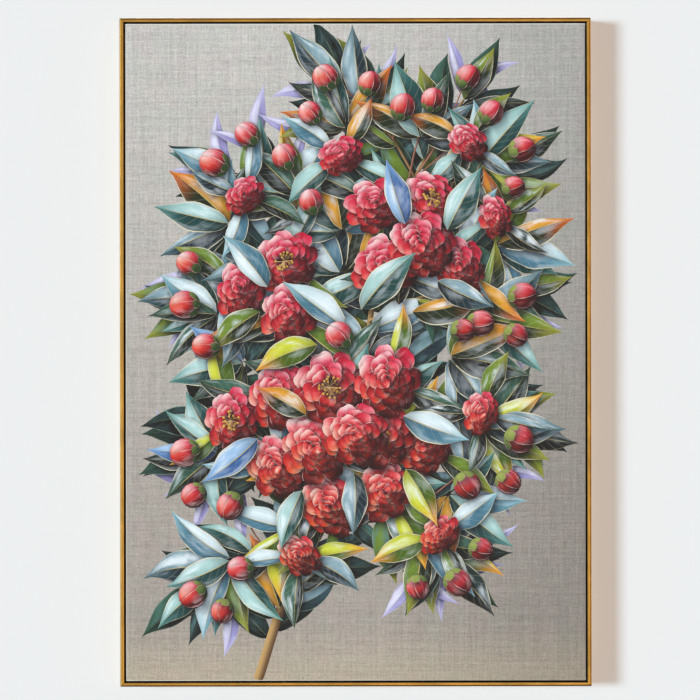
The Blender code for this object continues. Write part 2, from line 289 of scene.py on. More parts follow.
def makeWeaveGroup():
    # plain-woven linen: threads that swell and thin both ways, dark slubs, and large soft patches
    tree, given, out = newGroup(
        "linenWeave",
        (("Vector", "Vector", None), ("Slub", "Float", 1.0), ("Speck", "Float", 1.0)),
        (("Tone", "Float"), ("Height", "Float"), ("Patch", "Float")),
    )
    place = given["Vector"]
    fields = noises(tree, place, weaveNoises)
    warp, weft = fields["warp"], fields["weft"]
    long = times(tree, plus(tree, fields["longWarp"], fields["longWeft"]), 0.8)
    fine = plus(tree, plus(tree, warp, weft), long)
    threads = plus(tree, fine, times(tree, fields["grain"], 1.6))
    uneven = times(tree, minus(tree, threads, 2.6), given["Slub"])
    thick = eased(tree, maths(tree, "MAXIMUM", warp, weft), 0.66, 0.80)
    speck = times(tree, times(tree, thick, eased(tree, fields["cloud"], 0.50, 0.64)), given["Speck"])
    tone = minus(tree, plus(tree, 1.0, uneven), times(tree, speck, 0.22))
    tree.links.new(tone, out["Tone"])
    split = axesOf(tree, scaled(tree, place, (threadCrossings, threadCrossings, 0)))
    across, upward = maths(tree, "SINE", split[0]), maths(tree, "SINE", split[1])
    cross = times(tree, times(tree, across, upward), 0.25)
    tree.links.new(plus(tree, plus(tree, cross, threads), speck), out["Height"])
    tree.links.new(eased(tree, fields["patch"], 0.35, 0.65), out["Patch"])
    return tree


def makeBladeGroup():
    # a painted leaf or petal: two halves, a rib, a rim, side veins, a cool sheen and brush streaks along it
    tree, given, out = newGroup(
        "paintedBlade",
        (
            ("Along", "Float", 0.5), ("Across", "Float", 0.5), ("Seed", "Float", 0.0),
            ("Sheen", "Float", 0.0),
            ("Lit", "Color", None), ("Shade", "Color", None), ("Tip", "Color", None),
            ("Sheen Colour", "Color", (0.8, 0.88, 0.95, 1)), ("Rim Colour", "Color", (0.8, 0.75, 0.6, 1)),
            ("Rib Colour", "Color", (0.5, 0.3, 0.1, 1)), ("Rim Width", "Float", 0.03),
            ("Rib Width", "Float", 0.02),
            ("Split", "Float", 0.02), ("Veins", "Float", 0.0), ("Vein Count", "Float", 9.0),
            ("Streaks", "Float", 0.2), ("Root", "Float", 0.5), ("Tip Amount", "Float", 0.7),
            ("Form", "Float", 0.2),
        ),
        (("Colour", "Color"), ("Height", "Float")),
    )
    along, across = given["Along"], given["Across"]
    fromRib = maths(tree, "ABSOLUTE", minus(tree, across, 0.5))
    low = minus(tree, 0.5, given["Split"])
    high = plus(tree, 0.5, given["Split"])
    colour = mixed(tree, eased(tree, across, low, high), given["Shade"], given["Lit"])
    colour = mixed(tree, times(tree, eased(tree, along, 0.5, 1.0), given["Tip Amount"]), colour, given["Tip"])
    brushed = fromAxes(
        tree, times(tree, along, 2.2), times(tree, across, 26.0), times(tree, given["Seed"], 31.0),
    )
    streak = minus(tree, noise(tree, brushed, 3.0, 0.6, 0.4), 0.5)
    pooled = fromAxes(
        tree, times(tree, along, 2.6), times(tree, across, 3.4), times(tree, given["Seed"], 17.0),
    )
    pool = noise(tree, pooled, 2.0, 0.5, 0.3)
    middle = times(tree, eased(tree, along, 0.02, 0.4), eased(tree, along, 1.0, 0.6))
    gloss = times(tree, eased(tree, pool, 0.42, 0.66), middle)
    gloss = times(tree, gloss, eased(tree, across, low, high, 0.42, 1.0))
    colour = mixed(tree, times(tree, gloss, given["Sheen"], clamp=True), colour, given["Sheen Colour"])
    hump = maths(tree, "SINE", times(tree, fromRib, 2 * math.pi))
    formed = plus(tree, 1.0, times(tree, minus(tree, hump, 0.5), given["Form"]))
    pooledTone = plus(tree, 1.0, times(tree, minus(tree, pool, 0.5), 0.5))
    streaked = plus(tree, 1.0, times(tree, streak, given["Streaks"]))
    rooted = eased(tree, along, 0.0, 0.34, given["Root"], 1.0)
    tone = times(tree, times(tree, formed, streaked), times(tree, rooted, pooledTone))
    colour = tinted(tree, colour, tone)
    phase = minus(tree, times(tree, along, given["Vein Count"]), times(tree, fromRib, 3.2))
    ridge = eased(tree, maths(tree, "SINE", times(tree, phase, 2 * math.pi)), 0.86, 1.0)
    vein = times(tree, ridge, given["Veins"])
    colour = mixed(tree, vein, colour, given["Rim Colour"])
    ribHalf = times(tree, given["Rib Width"], eased(tree, along, 0.2, 1.0, 1.0, 0.35))
    rib = eased(tree, fromRib, ribHalf, times(tree, ribHalf, 0.6))
    colour = mixed(tree, rib, colour, given["Rib Colour"])
    rimIn = minus(tree, 0.5, given["Rim Width"])
    rim = eased(tree, fromRib, minus(tree, rimIn, 0.012), rimIn)
    rim = times(tree, rim, eased(tree, pool, 0.36, 0.56, 0.25, 1.0))
    colour = mixed(tree, rim, colour, given["Rim Colour"])
    tree.links.new(colour, out["Colour"])
    relief = plus(tree, times(tree, streak, 0.8), minus(tree, plus(tree, rim, vein), rib))
    tree.links.new(relief, out["Height"])
    return tree


grainNoises = {
    "wander": ((1.3, 34, 34), (0, 0, 0), 1.0, 0.5),
    "pores": ((30, 1500, 1500), (0, 0, 0), 2.0, 0.6),
    "blotch": ((5, 18, 18), (4, 4, 4), 1.0, 0.5),
}
growthLines = (0, 46, 30)  # how many to a metre, along each axis


def makeGrainGroup():
    # sawn softwood: growth lines that wander along the first axis, over fine pores
    tree, given, out = newGroup(
        "woodGrain",
        (("Vector", "Vector", None), ("Light", "Color", None), ("Dark", "Color", None)),
        (("Colour", "Color"), ("Height", "Float")),
    )
    fields = noises(tree, given["Vector"], grainNoises)
    split = axesOf(tree, scaled(tree, given["Vector"], growthLines))
    years = plus(tree, plus(tree, split[1], split[2]), times(tree, fields["wander"], 17.0))
    rings = maths(tree, "POWER", maths(tree, "FRACT", years), 2.6)
    depth = plus(tree, times(tree, rings, 0.80), times(tree, fields["pores"], 0.36))
    colour = mixed(tree, depth, given["Light"], given["Dark"])
    tree.links.new(tinted(tree, colour, eased(tree, fields["blotch"], 0.3, 0.7, 0.86, 1.08)), out["Colour"])
    tree.links.new(plus(tree, times(tree, rings, 0.3), fields["pores"]), out["Height"])
    return tree


markNoises = {
    "cloud": ((38, 38, 38), (0, 0, 0), 3.0, 0.6),
    "fine": ((900, 160, 900), (3, 3, 3), 2.0, 0.6),
}


def makeMarksGroup():
    # handling marks: broad cloudy smudges with fine scratches, as a number that changes over the surface
    tree, given, out = newGroup(
        "handling", (("Vector", "Vector", None),), (("Mark", "Float"), ("Scratch", "Float")),
    )
    fields = noises(tree, given["Vector"], markNoises)
    tree.links.new(eased(tree, fields["cloud"], 0.4, 0.7), out["Mark"])
    tree.links.new(eased(tree, fields["fine"], 0.55, 0.72), out["Scratch"])
    return tree


weaveGroup = makeWeaveGroup()
bladeGroup = makeBladeGroup()
grainGroup = makeGrainGroup()
marksGroup = makeMarksGroup()
print("shader groups built")


# The gold moulding: four mitred lengths

moulding = {
    "faceWidth": 0.0060,
    "flatWidth": 0.0030,
    "rollDepth": 0.0026,
    "ledgeWidth": 0.018,
    "ledgeThickness": 0.0075,
    "edgeRadius": 0.0005,
    "mitreGap": 0.0003,
    "rollSteps": 10,
    "lengthSteps": 60,
    "bakeMargin": 0.002,
    "innerGold": (171, 131, 60),
    "outerGold": (155, 114, 47),
    "goldMetallic": 0.82,
    "goldRoughness": 0.40,
    "markedRoughness": 0.10,
    "brushDepth": 0.00006,
    "blackPaint": (9, 7, 7),
    "wornPaint": (24, 20, 18),
    "paintRoughness": 0.72,
    "bareWood": ((214, 184, 140), (176, 134, 86)),
}


def goldMaterial():
    # champagne gold on the level band, older gold on the roll and side, black in the gap, bare wood behind
    material, tree, shader = newMaterial("satinGoldMoulding")
    place = objectPlace(tree)
    along = mapPlace(tree, "lengthUv")
    golden, blackened, bare = axesOf(tree, attributeOf(tree, "zone", "Vector"))
    band = attributeOf(tree, "band", "Fac")
    marks = useGroup(tree, marksGroup, {"Vector": place})
    leaf = noise(tree, scaled(tree, along, (14, 3.0, 0)), 3.0, 0.6, 0.4)
    brushed = noise(tree, scaled(tree, along, (55, 160, 0)), 2.0, 0.6)
    bandGolds = (linearRgba(moulding[key]) for key in ("innerGold", "outerGold"))
    gold = mixed(tree, eased(tree, band, 0.42, 0.62), *bandGolds)
    gold = tinted(tree, gold, eased(tree, leaf, 0.3, 0.7, 0.86, 1.10))
    gold = tinted(tree, gold, eased(tree, brushed, 0.3, 0.7, 0.94, 1.05))
    light, dark = moulding["bareWood"]
    wood = useGroup(tree, grainGroup, {"Vector": along, "Light": linearRgba(light), "Dark": linearRgba(dark)})
    black = mixed(tree, marks["Mark"], *(linearRgba(moulding[key]) for key in ("blackPaint", "wornPaint")))
    colour = mixed(tree, blackened, gold, black)
    colour = mixed(tree, bare, colour, wood["Colour"])
    tree.links.new(colour, shader.inputs["Base Color"])
    tree.links.new(times(tree, golden, moulding["goldMetallic"]), shader.inputs["Metallic"])
    goldRough = plus(tree, moulding["goldRoughness"], times(tree, marks["Mark"], moulding["markedRoughness"]))
    otherRough = times(tree, minus(tree, 1.0, golden), moulding["paintRoughness"])
    tree.links.new(plus(tree, times(tree, golden, goldRough), otherRough), shader.inputs["Roughness"])
    emboss(tree, shader, plus(tree, brushed, times(tree, leaf, 0.6)), moulding["brushDepth"])
    return material


def mouldingSection():
    # the L of the moulding as (outward, y) points from the inner wall, each with its gold band and its zone;
    # the edges are quarter circles, and the roll is a longer quarter of an ellipse
    face, flat, ledge, r = (moulding[key] for key in ("faceWidth", "flatWidth", "ledgeWidth", "edgeRadius"))
    quarter = np.linspace(0, math.pi / 2, 4)
    roll = np.linspace(0, math.pi / 2, moulding["rollSteps"])
    parts = []

    def add(outward, y, band, zone):
        parts.append(np.column_stack(np.broadcast_arrays(outward, y, band, *zone)).astype(float))

    gold, black, wood = (1, 0, 0), (0, 1, 0), (0, 0, 1)
    add(r * (1 - np.cos(quarter)), frameFront + r * (1 - np.sin(quarter)), 0.0, gold)
    rollY = frameFront + moulding["rollDepth"] * (1 - np.cos(roll))
    add(flat + (face - flat) * np.sin(roll), rollY, 0.30 + 0.7 * np.sin(roll) ** 0.5, gold)
    add(face - r * (1 - np.cos(quarter)), frameBack - r * (1 - np.sin(quarter)), 1.0, gold)
    add(np.array([face - 2 * r, face - 2.2 * r]), frameBack, 1.0, gold)
    add(np.array([face - 2.4 * r, r - ledge]), frameBack, 1.0, wood)
    add(r * (1 - np.sin(quarter[1:])) - ledge, frameBack - r * (1 - np.cos(quarter[1:])), 1.0, wood)
    ledgeFront = frameBack - moulding["ledgeThickness"]
    add(np.array([-ledge, -ledge + r]), np.array([ledgeFront + r, ledgeFront]), 1.0, black)
    add(np.array([0.0, 0.0]), np.array([ledgeFront, frameFront + 1.6 * r]), 0.0, black)
    return np.vstack(parts)


def mitredLength(section, halfOut, halfAlong, share, gap=0.0):
    # the section carried along one side of a rectangle, each point as far as its own mitre
    outward, depth = section[:, 0], section[:, 1]
    reach = halfAlong + outward - gap / math.sqrt(2)
    along = share[:, None] * reach[None, :]
    out = np.broadcast_to(halfOut + outward, along.shape)
    return np.stack([along, np.broadcast_to(depth, along.shape), out], axis=-1)


def sideAxes(side, along, out):
    return {
        "top": (along, out), "bottom": (-along, -out), "left": (-out, along), "right": (out, -along),
    }[side]


def turnedTo(side, points):
    # a length made along x on the top, turned to its own side; each turn keeps the faces pointing out
    x, z = sideAxes(side, points[..., 0], points[..., 2])
    return np.stack([x, points[..., 1], z + centreZ], axis=-1)


def makeMoulding():
    material = goldMaterial()
    section = mouldingSection()
    innerX = frameOuterX - moulding["faceWidth"]
    innerZ = frameTop - centreZ - moulding["faceWidth"]
    loop = np.vstack([section, section[:1]])
    girth = np.concatenate([[0], np.cumsum(np.hypot(*np.diff(loop[:, :2], axis=0).T))])
    steps = moulding["lengthSteps"]
    share = np.sin(np.linspace(-math.pi / 2, math.pi / 2, steps))  # closer together towards the mitres
    grid = (steps, len(loop))
    margin = moulding["bakeMargin"]
    for side in sides:
        halfOut, halfAlong = (innerZ, innerX) if side in levelSides else (innerX, innerZ)
        points = mitredLength(loop, halfOut, halfAlong, share, moulding["mitreGap"])
        along = points[..., 0]
        lengthUv = np.stack([along, np.broadcast_to(girth, grid)], axis=-1)
        bakeAlong = 0.5 + (0.5 - margin) * along / np.abs(along).max()
        bakeRound = margin + (1 - 2 * margin) * np.broadcast_to(girth / girth[-1], grid)
        piece = addPiece(
            f"moulding_{side}", turnedTo(side, points), gridQuads(*grid), material,
            maps={"lengthUv": lengthUv, "OFBake": np.stack([bakeAlong, bakeRound], axis=-1)},
            colours={"zone": np.broadcast_to(loop[:, 3:6], (*grid, 3))},
            numbers={"band": np.broadcast_to(loop[:, 2], grid)},
        )
        closeMesh(piece, merge=1e-6, fill=True)
        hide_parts(f"frame_{side}")


makeMoulding()
print("moulding built")


# The linen: one cloth over the bars, folded onto their backs

cloth = {
    "edgeRadius": 0.0016,
    "thickness": 0.0007,
    "turnover": 0.026,
    "turnoverSteps": 5,
    "acrossSteps": 61,
    "upSteps": 87,
    "arcSteps": 5,
    "sideSteps": 4,
    "sway": 0.00010,
    # the first two colours are painted light and shade on the ground: lighter at the top, darker low down
    "litTopColour": (207, 204, 200),
    "shadedLowColour": (175, 166, 158),
    "footColour": (190, 178, 160),
    "rawColour": (196, 178, 148),
    "fray": 0.0005,
    # a painted highlight along the rim of the face: its colour and width
    "edgeHighlightColour": (246, 240, 228),
    "edgeHighlightWidth": 0.0017,
    # painted shade: the ground's darkening towards the right edge
    "rightShade": 0.70,
    "slubs": 0.42,
    "specks": 1.6,
    "weaveDepth": 0.00030,
    "bakeMargin": 0.055,
    "outerBake": (0.78, 1.0),
    "innerBake": (0.205, 0.27),
    "innerBakeFrom": (0.79, 0.0),
    "pinkTint": (1.022, 0.992, 1.0),
    "greenTint": (0.984, 1.006, 0.990),
}


def clothRim(inset):
    # the edge strip's (outward, y) path, from the face round the side and onto the back, and its length
    r = cloth["edgeRadius"]
    arc = np.linspace(0, math.pi / 2, cloth["arcSteps"])
    inner = r - inset
    front = np.column_stack([-r + inner * np.sin(arc), linenFront + r - inner * np.cos(arc)])
    sideY = np.linspace(linenFront + r, linenBack - r, cloth["sideSteps"])
    side = np.column_stack([np.full_like(sideY, -inset), sideY])
    back = np.column_stack([-r + inner * np.cos(arc), linenBack - r + inner * np.sin(arc)])
    foldOut = np.linspace(-r, -cloth["turnover"], cloth["turnoverSteps"])
    fold = np.column_stack([foldOut, np.full_like(foldOut, linenBack - inset)])
    path = np.vstack([front, side[1:-1], back, fold[1:]])
    return path, np.concatenate([[0], np.cumsum(np.hypot(*np.diff(path, axis=0).T))])


def clothSurface(inset):
    # the face and its four mitred strips as separate grids, each with its place on the flat cloth;
    # the face is drawn in by small sine waves along its edges, where the staples pull
    r = cloth["edgeRadius"]
    across = np.linspace(-1, 1, cloth["acrossSteps"])
    up = np.linspace(-1, 1, cloth["upSteps"])
    x, z = np.meshgrid(across * (halfWidth - r), up * (halfHeight - r), indexing="ij")
    nearX, nearZ = (np.exp(-(1 - np.abs(share)) * 16) for share in (across, up))
    sway = np.sin(9 * math.pi * across)[:, None] * nearZ + nearX[:, None] * np.sin(13 * math.pi * up)
    insideX, insideZ = (np.clip((1 - np.abs(share)) * 40, 0, 1) for share in (across, up))
    y = linenFront + inset + cloth["sway"] * np.abs(sway) * insideX[:, None] * insideZ
    grids = [(np.stack([x, y, z + centreZ], axis=-1), np.stack([x, z], axis=-1))]
    path, length = clothRim(inset)
    for side in sides:
        halfOut, halfAlong = (halfHeight, halfWidth) if side in levelSides else (halfWidth, halfHeight)
        share = across if side in levelSides else up
        points = mitredLength(path, halfOut, halfAlong, share)
        points[..., -1, 2] += cloth["fray"] * np.sin(47 * share + 3 * np.sin(31 * share)) * (1 - share ** 8)
        flatAlong = np.broadcast_to(share[:, None] * (halfAlong - r), points.shape[:2])
        flatOut = np.broadcast_to(halfOut - r + length, points.shape[:2])
        grids.append((turnedTo(side, points), np.stack(sideAxes(side, flatAlong, flatOut), axis=-1)))
    return grids


def clothMaterial():
    # a pale grey ground with painted shade, as if lit from the top left: darker downwards and to the right,
    # warm at the foot, with a painted highlight along the fold
    material, tree, shader = newMaterial("sizedLinen", roughness=0.86, specular=0.25)
    place = mapPlace(tree, "clothUv")
    across, up, _ = axesOf(tree, place)
    weave = useGroup(tree, weaveGroup, {"Vector": place, "Slub": cloth["slubs"], "Speck": cloth["specks"]})
    top, low, foot = (linearRgba(cloth[key]) for key in ("litTopColour", "shadedLowColour", "footColour"))
    # painted shade: the ground goes from lit at the top to shaded low down
    ground = mixed(tree, eased(tree, up, 0.62, -0.46), top, low)
    ground = mixed(tree, eased(tree, up, -0.40, -0.50), ground, foot)
    tint = mixed(tree, weave["Patch"], (*cloth["pinkTint"], 1), (*cloth["greenTint"], 1))
    ground = mixed(tree, 1.0, ground, tint, "MULTIPLY")
    # painted shade: darker towards the right edge
    ground = tinted(tree, ground, eased(tree, across, -0.02, 0.42, 1.0, cloth["rightShade"]))
    ground = tinted(tree, ground, weave["Tone"])
    # a painted highlight along the rim, strongest on the left and top edges, as if they caught the light
    inX = minus(tree, halfWidth, maths(tree, "ABSOLUTE", across))
    inZ = minus(tree, halfHeight, maths(tree, "ABSOLUTE", up))
    edge = eased(tree, maths(tree, "MINIMUM", inX, inZ), cloth["edgeHighlightWidth"] * 1.3, cloth["edgeHighlightWidth"] * 0.7)
    leftHighlight = eased(tree, across, 0.33, -0.33, 0.05, 0.75)
    highlightSides = maths(tree, "MAXIMUM", leftHighlight, eased(tree, up, 0.494, 0.499, 0.0, 0.9))
    ground = mixed(tree, times(tree, edge, highlightSides), ground, linearRgba(cloth["edgeHighlightColour"]))
    raw = tinted(tree, mixed(tree, 1.0, linearRgba(cloth["rawColour"]), tint, "MULTIPLY"), weave["Tone"])
    ground = mixed(tree, attributeOf(tree, "raw", "Fac"), ground, raw)
    tree.links.new(ground, shader.inputs["Base Color"])
    emboss(tree, shader, weave["Height"], cloth["weaveDepth"], 0.8)
    shader.inputs["Sheen Weight"].default_value = 0.08
    return material


def makeCloth():
    # the outer skin and the inner one, the cloth's thickness in, joined along their rims
    outer = clothSurface(0.0)
    inner = clothSurface(cloth["thickness"])
    size = 2 * (np.array([halfWidth, halfHeight]) + cloth["bakeMargin"])
    points, quads, clothUv, bakeUv, rawness, start = [], [], [], [], [], 0
    turned = cloth["arcSteps"] + cloth["sideSteps"]
    for grids, flipped in ((outer, False), (inner, True)):
        for number, (place, flat) in enumerate(grids):
            rows, columns = place.shape[:2]
            cells = gridQuads(rows, columns)
            facing = flipped != (number == 0)
            quads.append((cells[:, ::-1] if facing else cells) + start)
            start += rows * columns
            points.append(place.reshape(-1, 3))
            clothUv.append(flat.reshape(-1, 2))
            behind = np.arange(columns) > turned if number else np.zeros(columns, bool)
            rawness.append(np.broadcast_to(1.0 * (behind | flipped), (rows, columns)).ravel())
            share = flat.reshape(-1, 2) / size + 0.5
            if flipped:
                bakeUv.append(share * cloth["innerBake"] + cloth["innerBakeFrom"])
            else:
                bakeUv.append(share * cloth["outerBake"])
    piece = addPiece(
        "linen_canvas", np.vstack(points), np.vstack(quads), clothMaterial(),
        maps={"clothUv": np.vstack(clothUv), "OFBake": np.vstack(bakeUv)},
        numbers={"raw": np.concatenate(rawness)},
    )
    closeMesh(piece, merge=2e-5, bridge=True, crease=60)
    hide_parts("canvas")


makeCloth()
print("linen built")


# Behind: woods, screws, plates, hangers, staples and pads

timber = {
    "pine": ((232, 204, 158), (196, 152, 98)),
    "beech": ((220, 186, 148), (196, 152, 112)),
    "grainDepth": 0.00012,
}


def woodMaterial(name, kind, upright=False):
    # grain that runs along the bar: along x, or along z for an upright one
    material, tree, shader = newMaterial(name, roughness=0.66, specular=0.3)
    x, y, z = axesOf(tree, objectPlace(tree))
    place = fromAxes(tree, z, x, y) if upright else fromAxes(tree, x, z, y)
    light, dark = timber[kind]
    grain = useGroup(
        tree, grainGroup, {"Vector": place, "Light": linearRgba(light), "Dark": linearRgba(dark)},
    )
    tree.links.new(grain["Colour"], shader.inputs["Base Color"])
    emboss(tree, shader, grain["Height"], timber["grainDepth"])
    return material


zincSteel = {
    "bright": (206, 208, 214),
    "clouded": (170, 172, 180),
    "scratched": (226, 228, 232),
    "roughness": (0.28, 0.46),
    "scratchDepth": 0.00003,
}


def steelMaterial():
    # bright zinc, clouded and finely scratched
    material, tree, shader = newMaterial("zincSteel", metallic=1.0)
    place = objectPlace(tree)
    marks = useGroup(tree, marksGroup, {"Vector": place})
    bright, clouded, scratched = (linearRgba(zincSteel[key]) for key in ("bright", "clouded", "scratched"))
    colour = mixed(tree, marks["Scratch"], mixed(tree, marks["Mark"], bright, clouded), scratched)
    tree.links.new(colour, shader.inputs["Base Color"])
    tree.links.new(eased(tree, marks["Mark"], 0.0, 1.0, *zincSteel["roughness"]), shader.inputs["Roughness"])
    emboss(tree, shader, marks["Scratch"], zincSteel["scratchDepth"])
    return material


greyFelt = {
    "colours": ((112, 112, 116), (158, 158, 160)),
    "fibreScale": 1600,
    "fibreDepth": 0.0004,
}


def feltMaterial():
    # pressed grey wool
    material, tree, shader = newMaterial("greyFelt", roughness=0.95, specular=0.1)
    fibres = noise(tree, scaled(tree, objectPlace(tree), (greyFelt["fibreScale"],) * 3), 3.0, 0.7, 0.8)
    colour = mixed(
        tree, eased(tree, fibres, 0.3, 0.7), *(linearRgba(colour) for colour in greyFelt["colours"])
    )
    tree.links.new(colour, shader.inputs["Base Color"])
    emboss(tree, shader, fibres, greyFelt["fibreDepth"])
    return material


def dressNodes(material, *names):
    for name in names:
        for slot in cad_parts[name].material_slots:
            slot.material = material


screwShape = {
    "lengths": {"frame_screw": 0.0200, "hanger_screw": 0.0075, "plate_screw": 0.0100},
    "headRadius": 0.0035,
    "headRise": 0.0021,
    "rounding": 0.585,
    "recessReach": 0.62,
    "recessHalf": 0.17,
    "recessSlopes": (0.05, 0.08),
    "recessDepth": 0.0011,
    "shankRadius": 0.0016,
    "pointLength": 0.0015,
    "turns": (0.4, 1.9),
    "rings": 13,
    "segments": 48,
}


def screwSurface(head, length):
    # rings about y: a head that falls by the square of the radius, with a cross pressed into it,
    # carried on down its side, underside, shank and point
    t = np.linspace(0, 1, screwShape["rings"])
    shank = screwShape["shankRadius"]
    angle = np.linspace(0, 2 * np.pi, screwShape["segments"], endpoint=False)
    radius = np.concatenate([(0.02 + 0.98 * t) * head, [head, shank, shank, 0.03 * head]])
    rise = screwShape["headRise"] * head / screwShape["headRadius"] * (1 - t ** 2 * screwShape["rounding"])
    height = np.concatenate([rise, [0.0, 0.0, screwShape["pointLength"] - length, -length]])
    r, a = np.meshgrid(radius, angle, indexing="ij")
    x, z = r * np.cos(a), r * np.sin(a)
    y = np.broadcast_to(height[:, None], x.shape).copy()
    arm = np.minimum(np.abs(x), np.abs(z)) / head
    reach = np.maximum(np.abs(x), np.abs(z)) / head
    armSlope, endSlope = screwShape["recessSlopes"]
    pressed = np.clip((screwShape["recessHalf"] - arm) / armSlope, 0, 1)
    pressed = pressed * np.clip((screwShape["recessReach"] - reach) / endSlope, 0, 1)
    y[: len(t)] -= (pressed * screwShape["recessDepth"] * (1 - 0.5 * reach))[: len(t)]
    return x, y, z


def makeScrews(material):
    # each replaces its solid, in the same place and as deep, with its cross turned its own way
    firstTurn, nextTurn = screwShape["turns"]
    for kind, length in screwShape["lengths"].items():
        names = sorted(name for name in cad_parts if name.startswith(kind))
        points, quads, start = [], [], 0
        for number, name in enumerate(names):
            low, high = (np.array(corner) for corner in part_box(name))
            x, y, z = screwSurface((high[0] - low[0]) / 2, length)
            turn = nextTurn * number + firstTurn
            spunX, spunZ = x * math.cos(turn) - z * math.sin(turn), x * math.sin(turn) + z * math.cos(turn)
            spun = np.stack([spunX, y, spunZ], axis=-1)
            middle = (low + high) / 2
            points.append((spun + (middle[0], low[1] + length, middle[2])).reshape(-1, 3))
            quads.append(gridQuads(*x.shape, closed=True) + start)
            start += x.size
        rings, segments = x.shape
        caps = []
        for first in range(0, start, x.size):
            caps.append(tuple(range(first, first + segments)))
            caps.append(tuple(range(first + (rings - 1) * segments, first + rings * segments))[::-1])
        piece = addPiece(
            f"{kind}s", np.vstack(points), np.vstack(quads), material, extraFaces=caps,
        )
        closeMesh(piece)
        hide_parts(*names)


staples = {
    "pitch": 0.062,
    "fromEdge": 0.0208,
    "crown": 0.0102,
    "wire": (0.0011, 0.0006),
    "legShown": 0.0006,
    "bend": 0.0005,
    "fromCorner": 0.045,
    "strayAlong": 0.006,
    "strayOut": 0.0008,
    "turns": (0.5, 0.95),
    "seed": 3,
}


def wireAlong(path, wide, thick):
    # a flat wire's rectangular section carried along a path of (along, rise) points
    path = np.asarray(path, float)
    run = np.gradient(path, axis=0)
    run /= np.linalg.norm(run, axis=1, keepdims=True)
    normal = np.stack([-run[:, 1], run[:, 0]], axis=1)
    across = np.array([-1, 1, 1, -1]) * wide / 2
    lift = np.array([0, 0, 1, 1]) * thick
    along = path[:, None, 0] + normal[:, None, 0] * lift
    rise = path[:, None, 1] + normal[:, None, 1] * lift
    return along, rise, np.broadcast_to(across, along.shape)


def makeStaples(material):
    # wire staples over the folded linen, each a little askew, their legs going in
    random = np.random.default_rng(staples["seed"])
    half, bend, leg = staples["crown"] / 2, staples["bend"], staples["legShown"]
    leftHalf = ((-half, -leg), (-half, bend * 0.2), (-half + bend, bend * 0.9))
    path = (*leftHalf, (0, bend), *((-x, y) for x, y in reversed(leftHalf)))
    along, rise, across = wireAlong(path, *staples["wire"])
    points, quads, caps, start = [], [], [], 0
    for side in sides:
        halfOut, halfAlong = (halfHeight, halfWidth) if side in levelSides else (halfWidth, halfHeight)
        last = halfAlong - staples["fromCorner"]
        count = int(2 * last / staples["pitch"]) + 1
        for place in np.linspace(-last, last, count):
            place = place + random.uniform(-staples["strayAlong"], staples["strayAlong"])
            turn = random.uniform(*staples["turns"])
            reach = halfOut - staples["fromEdge"] + random.uniform(-staples["strayOut"], staples["strayOut"])
            spot = np.stack([
                place + along * math.cos(turn) - across * math.sin(turn),
                linenBack + rise,
                reach + along * math.sin(turn) + across * math.cos(turn),
            ], axis=-1)
            points.append(turnedTo(side, spot).reshape(-1, 3))
            quads.append(gridQuads(*along.shape, closed=True) + start)
            caps.append(tuple(range(start, start + 4)))
            start += along.size
            caps.append(tuple(range(start - 4, start))[::-1])
    piece = addPiece(
        "staples", np.vstack(points), np.vstack(quads), material, extraFaces=caps, smooth=False,
    )
    closeMesh(piece)


mitreNails = {
    "zigzag": ((-0.0042, -0.0014), (-0.0021, 0.0014), (0, -0.0014), (0.0021, 0.0014), (0.0042, -0.0014)),
    "fromEdge": 0.0115,
    "halfThickness": 0.00028,
    "depth": 0.003,
    "proud": 0.00025,
}


def makeMitreNails(material):
    # a W of thin steel pressed across each mitre of the moulding's back, just proud of the wood
    offsets = np.array(mitreNails["zigzag"])
    half, inside, outside = mitreNails["halfThickness"], -mitreNails["depth"], mitreNails["proud"]
    middleX, middleZ = (reach - mitreNails["fromEdge"] for reach in (frameOuterX, frameTop - centreZ))
    points, quads, caps, start = [], [], [], 0
    for signX in (-1, 1):
        for signZ in (-1, 1):
            mitre = np.array([signX, signZ]) / math.sqrt(2)
            across = np.array([-mitre[1], mitre[0]])
            middle = np.array([middleX * signX, middleZ * signZ])
            line = middle + offsets[:, :1] * across + offsets[:, 1:] * mitre
            run = np.gradient(line, axis=0)
            normal = np.stack([-run[:, 1], run[:, 0]], axis=1) / np.linalg.norm(run, axis=1, keepdims=True)
            corners = []
            for away, rise in ((-half, inside), (half, inside), (half, outside), (-half, outside)):
                flat = line + normal * away
                y = np.full(len(flat), frameBack + rise)
                corners.append(np.column_stack([flat[:, 0], y, flat[:, 1] + centreZ]))
            ring = np.stack(corners, axis=1)
            points.append(ring.reshape(-1, 3))
            quads.append(gridQuads(*ring.shape[:2], closed=True) + start)
            caps.append(tuple(range(start, start + 4)))
            start += ring.shape[0] * ring.shape[1]
            caps.append(tuple(range(start - 4, start))[::-1])
    piece = addPiece(
        "mitre_nails", np.vstack(points), np.vstack(quads), material, extraFaces=caps,
        smooth=False,
    )
    closeMesh(piece)


def dressBack():
    levelPine = woodMaterial("pineLevel", "pine")
    uprightPine = woodMaterial("pineUpright", "pine", upright=True)
    dressNodes(levelPine, "stretcher_top", "stretcher_bottom", "cross_brace")
    dressNodes(uprightPine, "stretcher_left", "stretcher_right")
    levelBeech = woodMaterial("beechLevel", "beech")
    uprightBeech = woodMaterial("beechUpright", "beech", upright=True)
    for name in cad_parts:
        if name.startswith("wedge_"):
            dressNodes(uprightBeech if name.split("_")[1] in levelSides else levelBeech, name)
    steel = steelMaterial()
    dressNodes(steel, "hanger_left", "hanger_right", "brace_plate_left", "brace_plate_right")
    dressNodes(feltMaterial(), *[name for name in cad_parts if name.startswith("pad_")])
    makeScrews(steel)
    makeStaples(steel)
    makeMitreNails(steel)


dressBack()
print("back built")


# The painted design: a spray of red camellias rising from the lower edge.
# Its shapes are worked out in millimetres from the canvas's centre, x to the right and z up.

